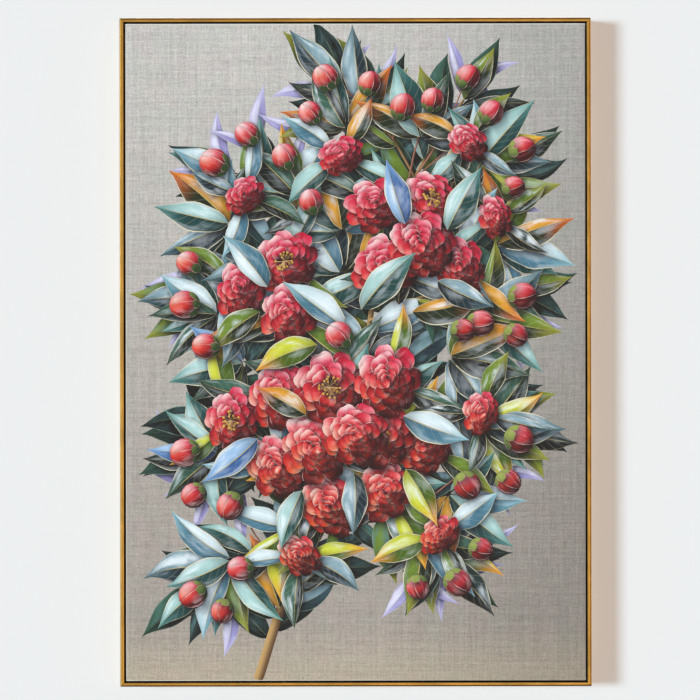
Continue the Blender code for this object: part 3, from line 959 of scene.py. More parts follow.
painting = {
    "seed": 7,
    "spread": (0.84, 0.90),
    "shift": (-8, 2),
    "lightFrom": (-0.52, 0.62, 0.59),
    "cell": 2.0,
    "refine": 4,
    "layerGap": 0.03,
    "highest": 1.3,
    "castReach": 10.0,
    "castDepth": 0.93,
    "canvasEdge": 1.5,
    "bakeMargin": 0.03,
    "leafGrid": (15, 5),
    "petalGrid": 8,
    "ribbonColumns": 4,
    "shadowTint": (0.05, 0.055, 0.085),
    "paintRoughness": 0.55,
    "paintDepth": 0.00012,
    "slubs": 0.10,
    "specks": 0.4,
}
paintRandom = np.random.default_rng(painting["seed"])
paintLight = np.array(painting["lightFrom"]) / np.linalg.norm(painting["lightFrom"])
paintShapes = []


def between(low, high, size=None):
    return paintRandom.uniform(low, high, size)


leafPaints = {
    "teal": ((176, 214, 212), (20, 66, 66), (70, 132, 128)),
    "ice": ((216, 234, 240), (70, 118, 140), (132, 182, 196)),
    "slate": ((142, 172, 184), (22, 44, 54), (64, 100, 112)),
    "sky": ((160, 196, 234), (58, 100, 158), (112, 158, 208)),
    "lime": ((208, 214, 58), (70, 98, 18), (236, 146, 32)),
    "ochre": ((222, 158, 46), (30, 42, 22), (218, 104, 26)),
    "moss": ((108, 136, 44), (16, 36, 18), (150, 150, 40)),
    "bottle": ((58, 100, 84), (8, 22, 20), (28, 64, 50)),
    "night": ((30, 54, 54), (5, 11, 13), (12, 28, 28)),
    "lavender": ((214, 209, 238), (152, 146, 200), (190, 186, 226)),
}
petalRamp = (
    (0.0, (44, 2, 18)), (0.22, (118, 4, 36)), (0.46, (198, 14, 54)), (0.68, (226, 44, 80)),
    (0.85, (242, 120, 140)), (1.0, (255, 222, 220)),
)
warmRamp = (
    (0.0, (60, 6, 10)), (0.22, (146, 18, 14)), (0.46, (220, 56, 22)), (0.68, (238, 104, 38)),
    (0.85, (248, 158, 88)), (1.0, (255, 224, 184)),
)
budRamp = (
    (0.0, (74, 6, 24)), (0.3, (168, 18, 44)), (0.55, (218, 46, 70)), (0.78, (240, 128, 140)),
    (1.0, (254, 230, 228)),
)
barkColours = ((222, 182, 118), (82, 54, 34))  # lit, then shaded
stemColours = ((196, 140, 112), (92, 48, 44))
sepalColours = ((160, 172, 88), (40, 62, 30))
threadColours = ((250, 226, 160), (190, 110, 60))
antherColours = ((255, 226, 120), (196, 120, 26))


def unit(angle):
    return np.stack([np.cos(angle), np.sin(angle)], axis=-1)


def ramp(stops, level):
    # colours read off a list of (level, colour) stops
    marks = [mark for mark, _ in stops]
    return np.stack(
        [np.interp(level, marks, [colour[channel] for _, colour in stops]) for channel in range(3)], axis=-1,
    )


def shaded(colours, level):
    # from the second colour to the first as the level of light rises
    lit, shade = (np.array(colour, float) for colour in colours)
    return shade + (lit - shade) * level


def curveThrough(points, steps):
    # Catmull-Rom curve through the points, evenly stepped in its parameter
    points = np.asarray(points, float)
    padded = np.vstack([2 * points[0] - points[1], points, 2 * points[-1] - points[-2]])
    place = np.linspace(0, len(points) - 1, steps)
    start = np.minimum(place.astype(int), len(points) - 2)
    t = (place - start)[:, None]
    a, b, c, d = (padded[start + k] for k in range(4))
    return 0.5 * (
        2 * b + (c - a) * t + (2 * a - 5 * b + 4 * c - d) * t ** 2 + (3 * b - a - 3 * c + d) * t ** 3
    )


def addShape(layer, place, along, across, lit, shade=None, tip=None, sheen=0.0, rise=None):
    # one painted stroke or form: a grid of points with its colours; later shapes lie over earlier ones
    shape = place.shape[:2]
    full = [np.asarray(lit if colour is None else colour, float) for colour in (lit, shade, tip)]
    full = [np.broadcast_to(colour, (*shape, 3)) for colour in full]
    paintShapes.append({
        "layer": layer, "place": place, "along": np.broadcast_to(along, shape),
        "across": np.broadcast_to(across, shape),
        "lit": full[0], "shade": full[1], "tip": full[2], "sheen": sheen, "seed": paintRandom.random(),
        "rise": np.broadcast_to(np.zeros(shape) if rise is None else rise, shape),
    })


def unevenHalves(least):
    # a leaf's two halves, one at its full width and the other narrower
    firstWhole = paintRandom.random() < 0.5
    narrow = between(least, 1.0)
    return (1.0, narrow) if firstWhole else (narrow, 1.0)


leafForm = {
    "belly": 0.82,
    "tipPower": (0.72, 0.7),
    "wave": 0.035,
    "waves": 2.6,
    "rise": 0.05,
}


def addLeaf(layer, base, heading, length, width, paint, bend=0.0, halves=(1.0, 1.0), sheen=0.4):
    # a bent rib with a half width of sin(pi u^belly) to a power that sharpens the tip, with a waved edge
    rows, columns = painting["leafGrid"]
    u = np.linspace(0, 1, rows)
    v = np.linspace(-1, 1, columns)
    turn = heading + bend * (u - 0.2)
    step = unit((turn[1:] + turn[:-1]) / 2) * length / (rows - 1)
    rib = np.asarray(base, float) + np.vstack([np.zeros(2), np.cumsum(step, axis=0)])
    rootPower, morePower = leafForm["tipPower"]
    half = width / 2 * np.sin(np.pi * u ** leafForm["belly"]).clip(0, 1) ** (rootPower + morePower * u)
    wave = 1 + leafForm["wave"] * np.sin(2 * np.pi * (leafForm["waves"] * u + paintRandom.random()))
    side = np.where(v < 0, halves[0], halves[1])
    normal = unit(turn + np.pi / 2)
    offset = (half * wave)[:, None] * (v * side)[None, :]
    place = rib[:, None, :] + normal[:, None, :] * offset[..., None]
    facesLight = np.dot(unit(heading + np.pi / 2), paintLight[:2]) > 0
    across = (1 + (v if facesLight else -v)) / 2
    rise = leafForm["rise"] * (1 - v ** 2)[None, :] * np.sin(np.pi * u)[:, None]
    lit, shade, tip = leafPaints[paint] if isinstance(paint, str) else paint
    addShape(layer, place, u[:, None], across[None, :], lit, shade, tip, sheen, rise)


def discGrid(count):
    # a square grid pulled into a unit disc, with no pole: x = a sqrt(1 - b^2/2), y = b sqrt(1 - a^2/2)
    a, b = np.meshgrid(np.linspace(-1, 1, count), np.linspace(-1, 1, count), indexing="ij")
    return a, b, a * np.sqrt(1 - b ** 2 / 2), b * np.sqrt(1 - a ** 2 / 2)


blossomForm = {
    # from the outside in: petals in the ring, then their distance, half length and half width, by the radius
    "rings": (
        (8, 0.62, 0.40, 0.36), (7, 0.52, 0.36, 0.34), (7, 0.40, 0.31, 0.30),
        (6, 0.28, 0.25, 0.26), (5, 0.17, 0.19, 0.20), (4, 0.08, 0.13, 0.14),
    ),
    "openRings": 4,
    "petalSway": 0.09,
    "petalSizes": (0.93, 1.07),
    "cup": 0.3,
    "ruffle": 0.05,
    "notch": 0.12,
}


def addPetal(layer, centre, squash, direction, reach, halfLength, halfAcross, bloomRadius, warmth):
    # a disc narrower at its root, notched and waved at its rim; light falls on a cup that curls out
    a, b, x, y = discGrid(painting["petalGrid"])
    phase = paintRandom.random() * 2 * np.pi
    ruffle = 1 + blossomForm["ruffle"] * np.sin(3 * np.arctan2(y, x) + phase) * (x ** 2 + y ** 2)
    outward = x * ruffle - blossomForm["notch"] * np.exp(-(y / 0.25) ** 2) * np.clip(x, 0, 1) ** 2
    sideways = y * ruffle * (0.84 + 0.16 * x)
    radial, tangent = unit(direction), unit(direction + np.pi / 2)
    flat = radial * (reach + halfLength * outward)[..., None] + tangent * (halfAcross * sideways)[..., None]
    place = np.asarray(centre) + flat @ squash.T
    slope = 0.95 - 1.45 * ((x + 1) / 2) ** 1.4
    lean = (0.5 * reach / bloomRadius - slope)[..., None]
    tilt = radial * lean - tangent * (blossomForm["cup"] * y)[..., None]
    normal = np.concatenate([tilt @ squash.T, np.full((*x.shape, 1), 0.72)], axis=-1)
    normal /= np.linalg.norm(normal, axis=-1, keepdims=True)
    level = np.clip(normal @ paintLight * 1.08 - 0.04, 0, 1)
    level = level * (0.35 + 0.65 * np.clip((x + 1.15) / 0.9, 0, 1))
    lower = np.clip(warmth - 0.5 * (flat @ squash.T)[..., 1] / bloomRadius, 0, 1)[..., None]
    colour = ramp(petalRamp, level) * (1 - lower) + ramp(warmRamp, level) * lower
    rise = 0.05 * (1 - x ** 2 - y ** 2).clip(0)
    addShape(layer, place, (a + 1) / 2, (b + 1) / 2, colour, sheen=0.25, rise=rise)


def squashMatrix(direction, ratio):
    # the flattening of a round flower seen from one side: shorter by the ratio along that direction
    axis = unit(direction)
    return np.eye(2) - (1 - ratio) * np.outer(axis, axis)


def addBlossom(layer, centre, diameter, direction, ratio, warmth, opened=False):
    # rings of petals from the outside in, each turned by half a petal; an open one ends in golden stamens
    radius = diameter / 2
    squash = squashMatrix(direction, ratio)
    rings = blossomForm["rings"][: blossomForm["openRings"] if opened else None]
    spin = paintRandom.random() * 2 * np.pi
    shift = unit(direction) * radius * (1 - ratio) * 0.35
    sway = blossomForm["petalSway"]
    for ring, (count, reach, halfLength, halfAcross) in enumerate(rings):
        middle = np.asarray(centre) + shift * ring / 5
        for petal in range(count):
            angle = spin + 2 * np.pi * (petal + 0.5 * (ring % 2)) / count + between(-sway, sway)
            size = radius * between(*blossomForm["petalSizes"])
            shape = (reach * size, halfLength * size, halfAcross * size)
            addPetal(layer, middle, squash, angle, *shape, radius, warmth)
    if opened:
        addStamens(layer, np.asarray(centre) + shift * 0.7, radius * 0.30, squash)


def addStamens(layer, centre, radius, squash):
    # threads of random lengths that fan out from the centre, each with a round golden head
    for angle in np.sort(between(0, 2 * np.pi, 30)):
        reach = radius * between(0.45, 1.05)
        end = centre + squash @ (unit(angle) * reach)
        middle = (centre + end) / 2 + unit(angle + 1.5) * 0.6
        addRibbon(layer, np.stack([centre, middle, end]), 0.9, 0.6, threadColours, steps=4)
        a, b, x, y = discGrid(4)
        head = end + np.stack([x, y], axis=-1) * between(1.3, 2.0)
        level = np.clip(0.5 + 0.5 * (np.stack([x, y], axis=-1) @ paintLight[:2]), 0, 1)[..., None]
        rise = 0.05 * (1 - x ** 2 - y ** 2).clip(0)
        addShape(layer, head, (a + 1) / 2, (b + 1) / 2, shaded(antherColours, level), rise=rise)


def addRibbon(layer, points, startWidth, endWidth, colours, steps=None):
    # a tapering strip along a curve, shaded as a round stem under the painted light
    steps = steps or max(6, int(np.linalg.norm(np.diff(points, axis=0), axis=1).sum() / 9))
    path = curveThrough(points, steps)
    run = np.gradient(path, axis=0)
    turn = np.arctan2(run[:, 1], run[:, 0])
    v = np.linspace(-1, 1, painting["ribbonColumns"])
    u = np.linspace(0, 1, steps)
    half = (startWidth + (endWidth - startWidth) * u) / 2
    normal = unit(turn + np.pi / 2)
    place = path[:, None, :] + normal[:, None, :] * (half[:, None] * v[None, :])[..., None]
    facing = paintLight[2] * np.sqrt(1 - 0.9 * v ** 2)
    level = np.clip((normal @ paintLight[:2])[:, None] * v[None, :] + facing[None, :], 0, 1)[..., None]
    rise = 0.06 * np.sqrt(1 - v ** 2)[None, :]
    addShape(layer, place, u[:, None], (v[None, :] + 1) / 2, shaded(colours, level), rise=rise)


def addBud(layer, centre, radius, heading, warmth):
    # a round bud: petals are patches of one ball from its root to its tip, then three sepals
    axis, aside = unit(heading), unit(heading + np.pi / 2)
    t = np.linspace(0, 1, 8)[:, None]
    s = np.linspace(-1, 1, 7)[None, :]

    def patch(lonCentre, lonHalf, latLow, latHigh, size, kind):
        lat = np.radians(latLow + (latHigh - latLow) * t)
        spread = np.radians(lonHalf) * np.sin(np.pi * (0.12 + 0.80 * t)) ** 0.55
        lon = np.clip(np.radians(lonCentre) + spread * s, -np.pi / 2, np.pi / 2)
        along, side, out = np.sin(lat) + 0 * lon, np.cos(lat) * np.sin(lon), np.cos(lat) * np.cos(lon)
        ball = axis * (along * 1.06)[..., None] + aside * side[..., None]
        place = np.asarray(centre) + size * radius * ball
        normal = axis * along[..., None] + aside * side[..., None]
        level = np.clip(normal @ paintLight[:2] + out * paintLight[2], 0, 1)
        if kind == "sepal":
            addShape(layer, place, t, (s + 1) / 2, shaded(sepalColours, level[..., None]), rise=0.05 * out)
            return
        level = np.clip(level * (0.80 + 0.26 * t) - 0.10 * np.abs(s) ** 3, 0, 1)
        lower = np.clip(warmth - 0.55 * (place[..., 1] - centre[1]) / radius, 0, 1)[..., None]
        colour = ramp(budRamp, level) * (1 - lower) + ramp(warmRamp, level) * lower
        addShape(layer, place, t, (s + 1) / 2, colour, sheen=0.3, rise=0.08 * out)

    patch(0, 90, -84, 78, 0.97, "petal")
    for lonCentre, lonHalf in ((-58, 46), (60, 44), (-22, 44), (24, 40)):
        patch(lonCentre + between(-8, 8), lonHalf, -84, between(66, 88), 1.0, "petal")
    for lonCentre in (-54, 50, 0):
        patch(lonCentre, 30, -88, between(-34, -16), 1.04, "sepal")


# Where everything grows

branches = {  # its points from the foot up, and its width at the foot and at the tip
    "bough": (
        [(-168, -556), (-112, -400), (-44, -286), (10, -150), (30, 10), (58, 160), (122, 300), (206, 424)],
        15, 4,
    ),
    "lowLeft": ([(-80, -345), (-168, -340), (-262, -398)], 6, 2.4),
    "lowRight": ([(-20, -236), (84, -268), (172, -352)], 6.5, 2.4),
    "midLeft": ([(8, -160), (-112, -136), (-262, -170)], 7, 2.4),
    "midRight": ([(22, -90), (136, -84), (282, -128)], 6.5, 2.4),
    "upLeft": ([(28, 0), (-84, 60), (-262, 84)], 6.5, 2.4),
    "upRight": ([(34, 50), (150, 96), (296, 108)], 6, 2.2),
    "highLeft": ([(52, 140), (-50, 220), (-206, 292)], 5, 2.2),
    "highRight": ([(86, 230), (188, 250), (290, 316)], 5, 2.0),
    "topLeft": ([(118, 292), (66, 372), (-14, 446)], 4, 2.0),
}
bigBlossoms = (  # centre, diameter, the way it leans, its shorter width's share, warmth, opened
    ((-214, -118), 100, 3.0, 0.80, 0.25, True), ((-132, -196), 104, 3.7, 0.84, 0.45, False),
    ((-36, -262), 108, 4.2, 0.86, 0.52, False), ((62, -238), 106, -1.1, 0.86, 0.50, False),
    ((134, -160), 104, -0.6, 0.84, 0.45, False), ((-128, -76), 108, 3.1, 0.88, 0.28, False),
    ((-62, -164), 114, 3.9, 0.92, 0.42, False), ((52, -146), 112, -0.9, 0.92, 0.42, True),
    ((-36, -62), 120, 2.6, 0.94, 0.28, True), ((66, -50), 110, -0.2, 0.93, 0.30, False),
    ((10, -142), 104, -1.6, 0.94, 0.40, False), ((196, 142), 98, 0.4, 0.82, 0.22, False),
    ((48, 246), 98, 1.8, 0.84, 0.10, False), ((146, 256), 98, 0.9, 0.84, 0.12, True),
    ((64, 142), 108, 2.2, 0.88, 0.16, False), ((128, 178), 112, 0.6, 0.92, 0.18, False),
    ((-196, 104), 98, 2.8, 0.80, 0.15, False), ((-118, 150), 104, 2.3, 0.86, 0.12, True),
    ((-112, 62), 100, 3.0, 0.86, 0.20, False),
)
smallBlossoms = (  # the same, all closed
    ((236, -106), 74, -0.3, 0.74, 0.40), ((-92, -346), 74, 4.0, 0.78, 0.55),
    ((160, -312), 70, -0.8, 0.74, 0.55), ((-16, 330), 74, 1.9, 0.78, 0.10), ((214, 352), 70, 0.9, 0.76, 0.12),
    ((262, 226), 68, 0.3, 0.74, 0.20), ((-190, 262), 70, 2.3, 0.76, 0.10),
)
budPlaces = (  # centre, radius, heading
    ((-286, -412), 21, 3.7), ((-232, -440), 18, 4.2), ((-200, -368), 19, 3.4), ((194, -392), 21, -0.9),
    ((122, -400), 18, -1.5), ((236, -336), 18, -0.5), ((-300, -172), 22, 3.1), ((-284, -244), 19, 3.6),
    ((-218, -262), 21, 3.9), ((306, -150), 22, -0.3), ((286, -222), 19, -0.7), ((212, -228), 21, -0.7),
    ((-300, 78), 22, 3.0), ((-292, 148), 19, 2.6), ((-262, 8), 20, 3.2), ((312, 92), 21, 0.0),
    ((300, 26), 18, -0.3), ((236, 46), 20, -0.2), ((-246, 318), 22, 2.5), ((-186, 366), 19, 2.1),
    ((-118, 328), 20, 1.9), ((312, 340), 20, 0.5), ((296, 276), 17, 0.2), ((256, 402), 19, 0.8),
    ((-44, 462), 20, 2.0), ((36, 452), 18, 1.5), ((96, 412), 20, 1.4), ((214, 462), 19, 1.1),
    ((-72, 402), 18, 2.1), ((150, 424), 18, 1.2), ((-20, 26), 21, 2.4), ((204, 34), 18, 0.1),
    ((-70, 252), 19, 2.1),
)
leafFans = (  # centre, heading, how many leaves
    ((-236, -170), 3.3, 5), ((-214, -352), 3.9, 4), ((128, -312), -0.9, 5), ((238, -132), -0.3, 6),
    ((-236, 62), 3.0, 6), ((-214, 214), 2.6, 6), ((-92, 258), 2.1, 6), ((-6, 372), 1.9, 6),
    ((128, 356), 1.2, 5), ((232, 316), 0.7, 6), ((262, 178), 0.2, 6), ((236, 58), -0.1, 5),
    ((176, -10), 0.0, 6), ((-16, 128), 2.0, 6), ((-14, 200), 1.8, 5), ((-190, -20), 3.2, 5),
    ((-104, -300), 4.1, 4), ((176, -240), -0.7, 5),
)
topLeaves = (  # base, heading, length, paint
    ((-10, 40), 2.5, 118, "ice"), ((20, 70), 0.9, 122, "teal"), ((-60, 10), 3.4, 104, "lime"),
    ((112, 66), 0.1, 116, "ochre"), ((-168, -148), 3.9, 108, "sky"), ((96, -110), -0.4, 108, "ice"),
    ((-88, -236), 4.3, 96, "teal"), ((100, -200), -1.0, 100, "lime"), ((-80, -108), 2.6, 88, "ochre"),
    ((100, 214), 1.9, 104, "sky"), ((176, 204), 1.1, 110, "teal"), ((-150, 108), 2.2, 104, "ice"),
    ((-164, 66), 3.7, 96, "moss"), ((6, -206), -1.5, 96, "slate"), ((158, 118), -0.5, 96, "slate"),
)


def placed(point):
    # where a point of the lists above comes on the canvas
    return np.asarray(point, float) * painting["spread"] + painting["shift"]


def pathOf(name, steps=60):
    return curveThrough(placed(branches[name][0]), steps)


def nearestOnBranch(point):
    # the closest point of any branch, a little down its length, where a stem to that point would start
    best = None
    for name in branches:
        path = pathOf(name)
        gap = np.linalg.norm(path - point, axis=1)
        index = int(gap.argmin())
        if best is None or gap[index] < best[0]:
            best = (gap[index], path[max(index - 9, 0)])
    return best[1]


def pickPaint(x, z, depth):
    # cooler, paler leaves to the left, warmer and darker ones to the right and low down
    warm = np.clip(0.5 + x / 520 + (z - 100) / 1500, 0.08, 0.92)
    if depth == "back":
        weights = {"night": 0.42, "bottle": 0.34, "moss": 0.18, "slate": 0.06}
    elif depth == "front":
        weights = {
            "ice": 0.8 - 0.6 * warm, "teal": 1.0 - 0.5 * warm, "sky": 0.34 - 0.28 * warm,
            "lime": 0.26 + 0.4 * warm, "ochre": 0.16 + 0.4 * warm, "bottle": 0.7, "slate": 0.45,
            "moss": 0.2 + 0.4 * warm,
        }
    else:
        weights = {
            "teal": 0.9 - 0.5 * warm, "slate": 0.7, "bottle": 0.9, "moss": 0.3 + 0.5 * warm,
            "ice": 0.4 - 0.3 * warm, "lime": 0.12 + 0.3 * warm, "ochre": 0.06 + 0.3 * warm, "night": 0.7,
        }
    share = np.maximum(np.array(list(weights.values())), 0)
    return list(weights)[paintRandom.choice(len(share), p=share / share.sum())]


def growLeaves(name, layer, depth, spacing, lengths, spread, start):
    # leaves turned alternately to each side of the branch, opening by the spread, with one at its end
    path = pathOf(name, 200)
    run = np.concatenate([[0], np.cumsum(np.linalg.norm(np.diff(path, axis=0), axis=1))])
    side = 1
    for place in np.arange(start, run[-1] - 4, spacing):
        place = place + between(-5, 5)
        index = int(np.clip(np.searchsorted(run, place), 1, len(path) - 2))
        ahead = np.arctan2(*(path[index + 1] - path[index - 1])[::-1])
        heading = ahead + side * between(*spread)
        length = between(*lengths)
        halves = unevenHalves(0.45)
        base = path[index] + unit(heading) * 3
        width = length * between(0.36, 0.46)
        paint = pickPaint(*base, depth)
        bend = between(-0.7, 0.7) - side * 0.25
        addLeaf(layer, base, heading, length, width, paint, bend, halves, between(0.1, 0.9))
        side = -side
    ahead = np.arctan2(*(path[-1] - path[-8])[::-1])
    length = between(*lengths)
    paint = pickPaint(*path[-1], depth)
    addLeaf(layer, path[-1], ahead, length, length * 0.38, paint, between(-0.5, 0.5), sheen=0.5)


def rosette(layer, centre, radius, count, depth, lengths):
    # leaves that radiate from under a blossom
    spin = paintRandom.random() * 2 * np.pi
    for leaf in range(count):
        heading = spin + 2 * np.pi * leaf / count + between(-0.3, 0.3)
        length = between(*lengths)
        base = np.asarray(centre) + unit(heading) * radius * 0.55
        halves = unevenHalves(0.5)
        width = length * between(0.36, 0.48)
        paint = pickPaint(*base, depth)
        addLeaf(layer, base, heading, length, width, paint, between(-0.6, 0.6), halves, between(0.1, 0.9))


def onCanvas(entries):
    return [(placed(point), *rest) for point, *rest in entries]


def layOutPainting():
    # from the back of the spray to its front
    for point, size, heading in onCanvas(budPlaces):
        for turn in (-0.7, 0.75):
            length = between(74, 108)
            base = np.asarray(point) - unit(heading) * size * 1.4
            width = length * between(0.20, 0.27)
            bend = between(-0.9, 0.9)
            turned = heading + turn + between(-0.3, 0.3)
            addLeaf("painted_far_leaves", base, turned, length, width, "lavender", bend, sheen=0.3)
    for name in branches:
        if name != "bough":
            growLeaves(name, "painted_far_leaves", "far", 36, (78, 112), (0.5, 1.2), 60)
    for name in branches:
        growLeaves(
            name, "painted_back_leaves", "back", 17 if name == "bough" else 22, (92, 126), (0.5, 1.4), 60,
        )
    for centre, diameter, *_ in onCanvas(bigBlossoms):
        rosette("painted_back_leaves", centre, diameter / 2, 7, "back", (80, 116))
    for name, (points, startWidth, endWidth) in branches.items():
        addRibbon("painted_twigs", placed(points), startWidth, endWidth, barkColours)
    for name in branches:
        growLeaves(
            name, "painted_leaves", "middle", 30, (88, 124), (0.45, 1.1), 110 if name == "bough" else 50,
        )
    for point, size, heading in onCanvas(budPlaces):
        root = nearestOnBranch(np.asarray(point, float))
        neck = np.asarray(point) - unit(heading) * size
        middle = (root + neck) / 2 + unit(heading) * 8 + between(-6, 6, 2)
        addRibbon("painted_stems", np.stack([root, middle, neck]), 3.0, 1.8, stemColours)
    for centre, heading, count in onCanvas(leafFans):
        leafFan("painted_leaves", centre, heading, count)
    for centre, diameter, *_ in onCanvas(bigBlossoms):
        rosette("painted_leaves", centre, diameter / 2, 3, "front", (88, 116))
    for centre, diameter, *rest in onCanvas(smallBlossoms):
        rosette("painted_leaves", centre, diameter / 2, 4, "middle", (70, 96))
        addBlossom("painted_blossoms", centre, diameter, *rest)
    for centre, *rest in onCanvas(bigBlossoms):
        addBlossom("painted_blossoms", centre, *rest)
    for base, heading, length, paint in onCanvas(topLeaves):
        halves = (1.0, between(0.6, 1.0))
        bend = between(-0.5, 0.5)
        addLeaf("painted_front_leaves", base, heading, length, length * 0.44, paint, bend, halves, sheen=0.7)
    for point, size, heading in onCanvas(budPlaces):
        turned = heading + between(-0.3, 0.3)
        addBud("painted_buds", point, size, turned, between(0.15, 0.5))


def leafFan(layer, centre, heading, count):
    # a whorl of large leaves, the outermost first and each turned a little nearer to the fan's own heading
    for turn in sorted(np.linspace(-1.25, 1.25, count), key=abs, reverse=True):
        length = between(98, 132) * (1 - 0.08 * abs(turn))
        angle = heading + turn + between(-0.15, 0.15)
        halves = unevenHalves(0.5)
        base = np.asarray(centre) + unit(angle) * 5
        bend = 0.35 * turn + between(-0.35, 0.35)
        width = length * between(0.36, 0.46)
        addLeaf(layer, base, angle, length, width, pickPaint(*base, "front"), bend, halves, between(0.1, 0.8))


def refined(values, factor):
    # a grid read at more places, the factor times as many cells each way, by straight lines
    for axis in (0, 1):
        count = values.shape[axis]
        spots = np.linspace(0, count - 1, (count - 1) * factor + 1)
        low = np.minimum(spots.astype(int), count - 2)
        share = (spots - low).reshape([-1 if k == axis else 1 for k in range(values.ndim)])
        values = np.take(values, low, axis) * (1 - share) + np.take(values, low + 1, axis) * share
    return values


paintHalf = np.array([halfWidth, halfHeight]) * 1000
paintCells = np.ceil(2 * paintHalf / painting["cell"]).astype(int)


def cellsOf(spots):
    # the cells of the canvas in which the spots lie
    cells = np.clip(((spots + paintHalf) / painting["cell"]).astype(int), 0, paintCells - 1)
    return cells[..., 0], cells[..., 1]


def cellsUnder(place):
    return cellsOf(refined(place, painting["refine"]).reshape(-1, 2))


def stackPaint():
    # each shape lies on the highest paint under it
    top = np.zeros(paintCells)
    for shape in paintShapes:
        cells = cellsUnder(shape["place"])
        base = top[cells].max() + painting["layerGap"]
        shape["height"] = base + shape["rise"]
        top[cells] = base + shape["rise"].max()
    share = min(1.0, painting["highest"] / top.max())
    for shape in paintShapes:
        shape["height"] = shape["height"] * share
    print("paint build-up", round(float(top.max()), 2), "mm, drawn at", round(share, 2))


def castShadows():
    # from front to back: how much of the way to the painted light is covered by what lies above
    covered = np.zeros(paintCells)
    toLight = paintLight[:2] / np.linalg.norm(paintLight[:2])
    ring = unit(np.linspace(0, 2 * np.pi, 7)[:-1])
    reach = painting["castReach"]
    nearer, halfway, farther = (toLight * reach * share for share in (0.3, 0.7, 1.15))
    offsets = np.vstack(
        [nearer + ring[::2] * 2.0, halfway + ring[1::2] * 3.5, farther + ring * 5.0, ring * 3.0]
    )
    for shape in paintShapes[::-1]:
        cells = cellsOf(shape["place"][None] + offsets[:, None, None, :])
        shape["cast"] = 1 - painting["castDepth"] * np.clip(covered[cells].mean(axis=0) * 1.25, 0, 1)
        covered[cellsUnder(shape["place"])] = 1.0


def bladeMaterial(name, values):
    # the blade's colour and relief, darker where shadow falls, with the linen's threads showing through
    material, tree, shader = newMaterial(name, roughness=painting["paintRoughness"], specular=0.35)
    x, _, z = axesOf(tree, objectPlace(tree))
    along, across, _ = axesOf(tree, mapPlace(tree, "bladeUv"))
    inputs = {"Along": along, "Across": across}
    inputs.update({key: attributeOf(tree, key.lower(), "Fac") for key in ("Seed", "Sheen")})
    inputs.update({key: attributeOf(tree, "tone" + key) for key in ("Lit", "Shade", "Tip")})
    painted = useGroup(tree, bladeGroup, {**inputs, **values})
    threads = {"Vector": fromAxes(tree, x, z), "Slub": painting["slubs"], "Speck": painting["specks"]}
    weave = useGroup(tree, weaveGroup, threads)
    shadow = mixed(tree, attributeOf(tree, "cast", "Fac"), (*painting["shadowTint"], 1), (1, 1, 1, 1))
    colour = tinted(tree, mixed(tree, 1.0, painted["Colour"], shadow, "MULTIPLY"), weave["Tone"])
    tree.links.new(colour, shader.inputs["Base Color"])
    relief = plus(tree, times(tree, weave["Height"], 0.5), painted["Height"])
    emboss(tree, shader, relief, painting["paintDepth"], 0.7)
    return material


def paintMaterials():
    # what each layer of paint changes of the blade's own settings
    leaf = {
        "Rim Colour": linearRgba((238, 230, 200)), "Rib Colour": linearRgba((206, 186, 120)),
        "Sheen Colour": linearRgba((232, 240, 246)), "Rim Width": 0.024, "Rib Width": 0.018, "Split": 0.015,
        "Veins": 0.10, "Vein Count": 8.0, "Streaks": 0.35, "Root": 0.45, "Tip Amount": 0.8, "Form": 0.30,
    }
    quiet = {
        **leaf, "Rim Colour": linearRgba((120, 146, 130)), "Rib Colour": linearRgba((110, 116, 84)),
        "Veins": 0.06, "Sheen Colour": linearRgba((92, 128, 130)),
    }
    petal = {
        "Rim Colour": linearRgba((255, 206, 200)), "Rib Colour": linearRgba((200, 40, 70)),
        "Sheen Colour": linearRgba((255, 214, 214)), "Rim Width": 0.02, "Rib Width": 0.0, "Split": 0.2,
        "Veins": 0.0, "Streaks": 0.30, "Root": 0.9, "Tip Amount": 0.0, "Form": 0.0,
    }
    stroke = {
        **petal, "Rim Width": -0.02, "Streaks": 0.7, "Root": 1.0, "Rim Colour": linearRgba((150, 92, 44)),
    }
    far = {
        **leaf, "Rim Colour": linearRgba((214, 210, 214)), "Rib Colour": linearRgba((206, 200, 206)),
        "Veins": 0.05,
    }
    return {
        "painted_far_leaves": bladeMaterial("farLeafPaint", far),
        "painted_back_leaves": bladeMaterial("backLeafPaint", quiet),
        "painted_twigs": bladeMaterial("barkPaint", stroke),
        "painted_leaves": bladeMaterial("leafPaint", leaf),
        "painted_stems": bladeMaterial("stemPaint", stroke),
        "painted_blossoms": bladeMaterial("petalPaint", petal),
        "painted_front_leaves": bladeMaterial("frontLeafPaint", leaf),
        "painted_buds": bladeMaterial("budPaint", petal),
    }


def joinEnds(piece):
    # end rows that have drawn together become one point
    bm = bmesh.new()
    bm.from_mesh(piece.data)
    bmesh.ops.remove_doubles(bm, verts=bm.verts, dist=1e-6)
    bm.to_mesh(piece.data)
    bm.free()


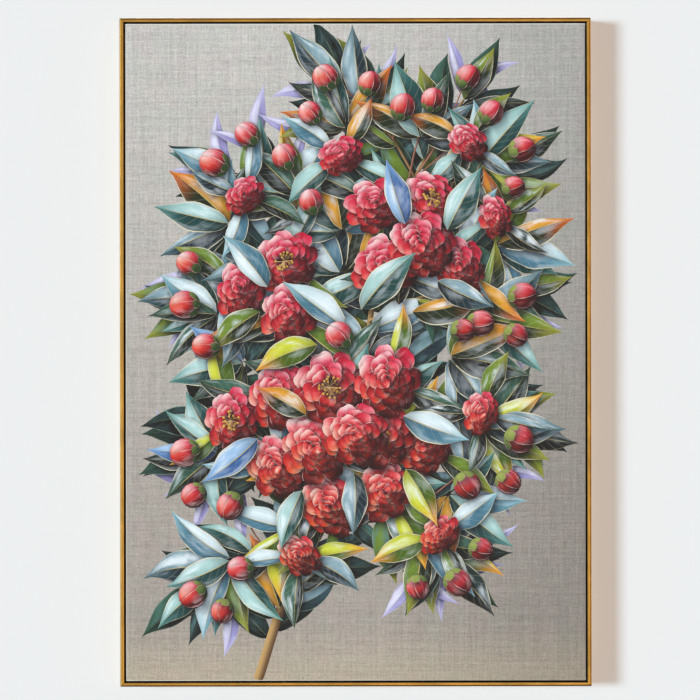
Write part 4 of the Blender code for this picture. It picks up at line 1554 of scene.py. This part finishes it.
def makePainting():
    layOutPainting()
    stackPaint()
    castShadows()
    wide, high = (half - painting["canvasEdge"] * millimetre for half in (halfWidth, halfHeight))
    margin = painting["bakeMargin"]
    for layer, material in paintMaterials().items():
        shapes = [shape for shape in paintShapes if shape["layer"] == layer]
        cellsAcross = math.ceil(math.sqrt(len(shapes)))
        points, quads, start = [], [], 0
        values = {key: [] for key in ("lit", "shade", "tip", "sheen", "seed", "cast", "blade", "atlas")}
        for number, shape in enumerate(shapes):
            place = shape["place"]
            rows, columns = place.shape[:2]
            x = np.clip(place[..., 0] * millimetre, -wide, wide)
            z = np.clip(place[..., 1] * millimetre, -high, high)
            y = linenFront - shape["height"] * millimetre
            points.append(np.stack([x, y, z + centreZ], axis=-1).reshape(-1, 3))
            cells = gridQuads(rows, columns)
            down, over = np.diff(place, axis=0)[:, :-1], np.diff(place, axis=1)[:-1]
            turning = (down[..., 0] * over[..., 1] - down[..., 1] * over[..., 0]).sum()
            quads.append((cells if turning > 0 else cells[:, ::-1]) + start)
            start += rows * columns
            for key in ("lit", "shade", "tip"):
                values[key].append(linear(shape[key]).reshape(-1, 3))
            for key in ("sheen", "seed"):
                values[key].append(np.full(rows * columns, shape[key]))
            values["cast"].append(shape["cast"].ravel())
            blade = np.stack([shape["along"], shape["across"]], axis=-1).reshape(-1, 2)
            values["blade"].append(blade)
            corner = np.array([number % cellsAcross, number // cellsAcross])
            values["atlas"].append((corner + margin + (1 - 2 * margin) * blade) / cellsAcross)
        stacked = {key: np.concatenate(parts) for key, parts in values.items()}
        piece = addPiece(
            layer, np.vstack(points), np.vstack(quads), material,
            maps={"bladeUv": stacked["blade"], "OFBake": stacked["atlas"]},
            colours={"tone" + key.capitalize(): stacked[key] for key in ("lit", "shade", "tip")},
            numbers={key: stacked[key] for key in ("sheen", "seed", "cast")},
        )
        joinEnds(piece)
        print(layer, len(shapes), "shapes,", len(np.vstack(quads)) * 2, "triangles")


makePainting()
print("painting built")


# Stage, light and camera

studio = {
    "wallColour": (243, 243, 243),
    "wallHalf": (2.6, 2.2),
    "wallGap": 0.0002,
    "floorDrop": 1.55,
    "floorHalf": 6.0,
    "backdrop": (238, 238, 238),
    "fillLight": (0.105, 0.085, 0.075),
    "cameraDistance": 4.0,
    "sensorWidth": 36.0,
    "photoMmPerPixel": 1.52,
    "photoWidth": 700,
    "frameCentrePixel": (355.55, 352.15),
    "roll": 0.085,
}
lamps = {
    # where each comes from, its strength, colour and width in degrees, and the surfaces that it lights
    "keyLight": ((-1.13, -0.93, 0.06), 2.54, (0.64, 0.86, 1.0), 14.5, "all"),
    "frontLight": ((0.02, -1.0, 0.03), 1.62, (1.0, 0.867, 0.753), 16.0, "matt"),
    "glintLight": ((0.24, -0.93, -0.12), 1.25, (1.0, 0.824, 0.69), 40.0, "glossy"),
    "backLight": ((0.55, 0.8, 0.55), 1.7, (0.93, 0.97, 1.0), 30.0, "all"),
    "rightLight": ((1.0, 0.40, 0.12), 1.5, (1.0, 0.824, 0.69), 40.0, "all"),
    "leftLight": ((-1.0, 0.40, 0.12), 1.2, (1.0, 0.88, 0.76), 40.0, "all"),
    "topLight": ((0.05, 0.85, 1.0), 1.4, (0.86, 0.95, 1.0), 20.0, "all"),
}


def stageSheet(name, corners):
    # a plain sheet that only the camera sees, from its front: it throws no light and hides no back
    mesh = bpy.data.meshes.new(name)
    mesh.from_pydata(corners, [], [(0, 1, 2, 3)])
    sheet = bpy.data.objects.new(name, mesh)
    bpy.context.scene.collection.objects.link(sheet)
    material, tree, shader = newMaterial(name + "Paint", roughness=0.9, specular=0.1)
    shader.inputs["Base Color"].default_value = linearRgba(studio["wallColour"])
    front = minus(tree, 1.0, tree.nodes.new("ShaderNodeNewGeometry").outputs["Backfacing"])
    camera = tree.nodes.new("ShaderNodeLightPath").outputs["Is Camera Ray"]
    clear = tree.nodes.new("ShaderNodeBsdfTransparent")
    shown = {0: times(tree, camera, front), 1: clear.outputs[0], 2: shader.outputs[0]}
    mix = addNode(tree, "ShaderNodeMixShader", shown)
    tree.links.new(mix.outputs[0], tree.nodes["Material Output"].inputs["Surface"])
    sheet.data.materials.append(material)


def makeStage():
    halfX, halfZ = studio["wallHalf"]
    low, high = centreZ - studio["floorDrop"], centreZ + halfZ
    wallY = cadBox[1][1] + studio["wallGap"]
    stageSheet(
        "wall", [(-halfX, wallY, low), (halfX, wallY, low), (halfX, wallY, high), (-halfX, wallY, high)],
    )
    half = studio["floorHalf"]
    stageSheet("floor", [(-half, -half, low), (half, -half, low), (half, half, low), (-half, half, low)])


def makeLight():
    # the lamps beside and above stand behind the wall's plane: they light the frame's sides, not the wall
    for name, (source, strength, colour, angle, surfaces) in lamps.items():
        lamp = bpy.data.lights.new(name, "SUN")
        lamp.energy = strength
        lamp.color = colour
        lamp.angle = math.radians(angle)
        sun = bpy.data.objects.new(name, lamp)
        sun.location = source
        sun.rotation_euler = Vector(source).to_track_quat("Z", "Y").to_euler()
        sun.visible_diffuse = surfaces != "glossy"
        sun.visible_glossy = surfaces != "matt"
        bpy.context.scene.collection.objects.link(sun)
    world = bpy.data.worlds.new("room")
    bpy.context.scene.world = world
    world.use_nodes = True
    tree = world.node_tree
    camera = tree.nodes.new("ShaderNodeLightPath").outputs["Is Camera Ray"]
    seen = mixed(tree, camera, (*studio["fillLight"], 1), linearRgba(studio["backdrop"]))
    tree.links.new(seen, tree.nodes["Background"].inputs["Color"])


def makeCamera():
    # square on, as wide as the photo at the picture's face, the frame's centre on its own pixel
    lens = bpy.data.cameras.new("camera")
    camera = bpy.data.objects.new("camera", lens)
    bpy.context.scene.collection.objects.link(camera)
    bpy.context.scene.camera = camera
    scale = studio["photoMmPerPixel"] * millimetre
    shown = studio["photoWidth"] * scale
    distance = studio["cameraDistance"]
    lens.sensor_width = studio["sensorWidth"]
    lens.lens = lens.sensor_width * distance / shown
    acrossPixel, downPixel = studio["frameCentrePixel"]
    half = studio["photoWidth"] / 2
    camera.location = (
        (half - acrossPixel) * scale, frameFront - distance, centreZ + (downPixel - half) * scale,
    )
    camera.rotation_euler = (math.pi / 2, math.radians(studio["roll"]), 0)
    bpy.context.scene.view_settings.view_transform = "Standard"


makeStage()
makeLight()
makeCamera()
print("stage, light and camera set")
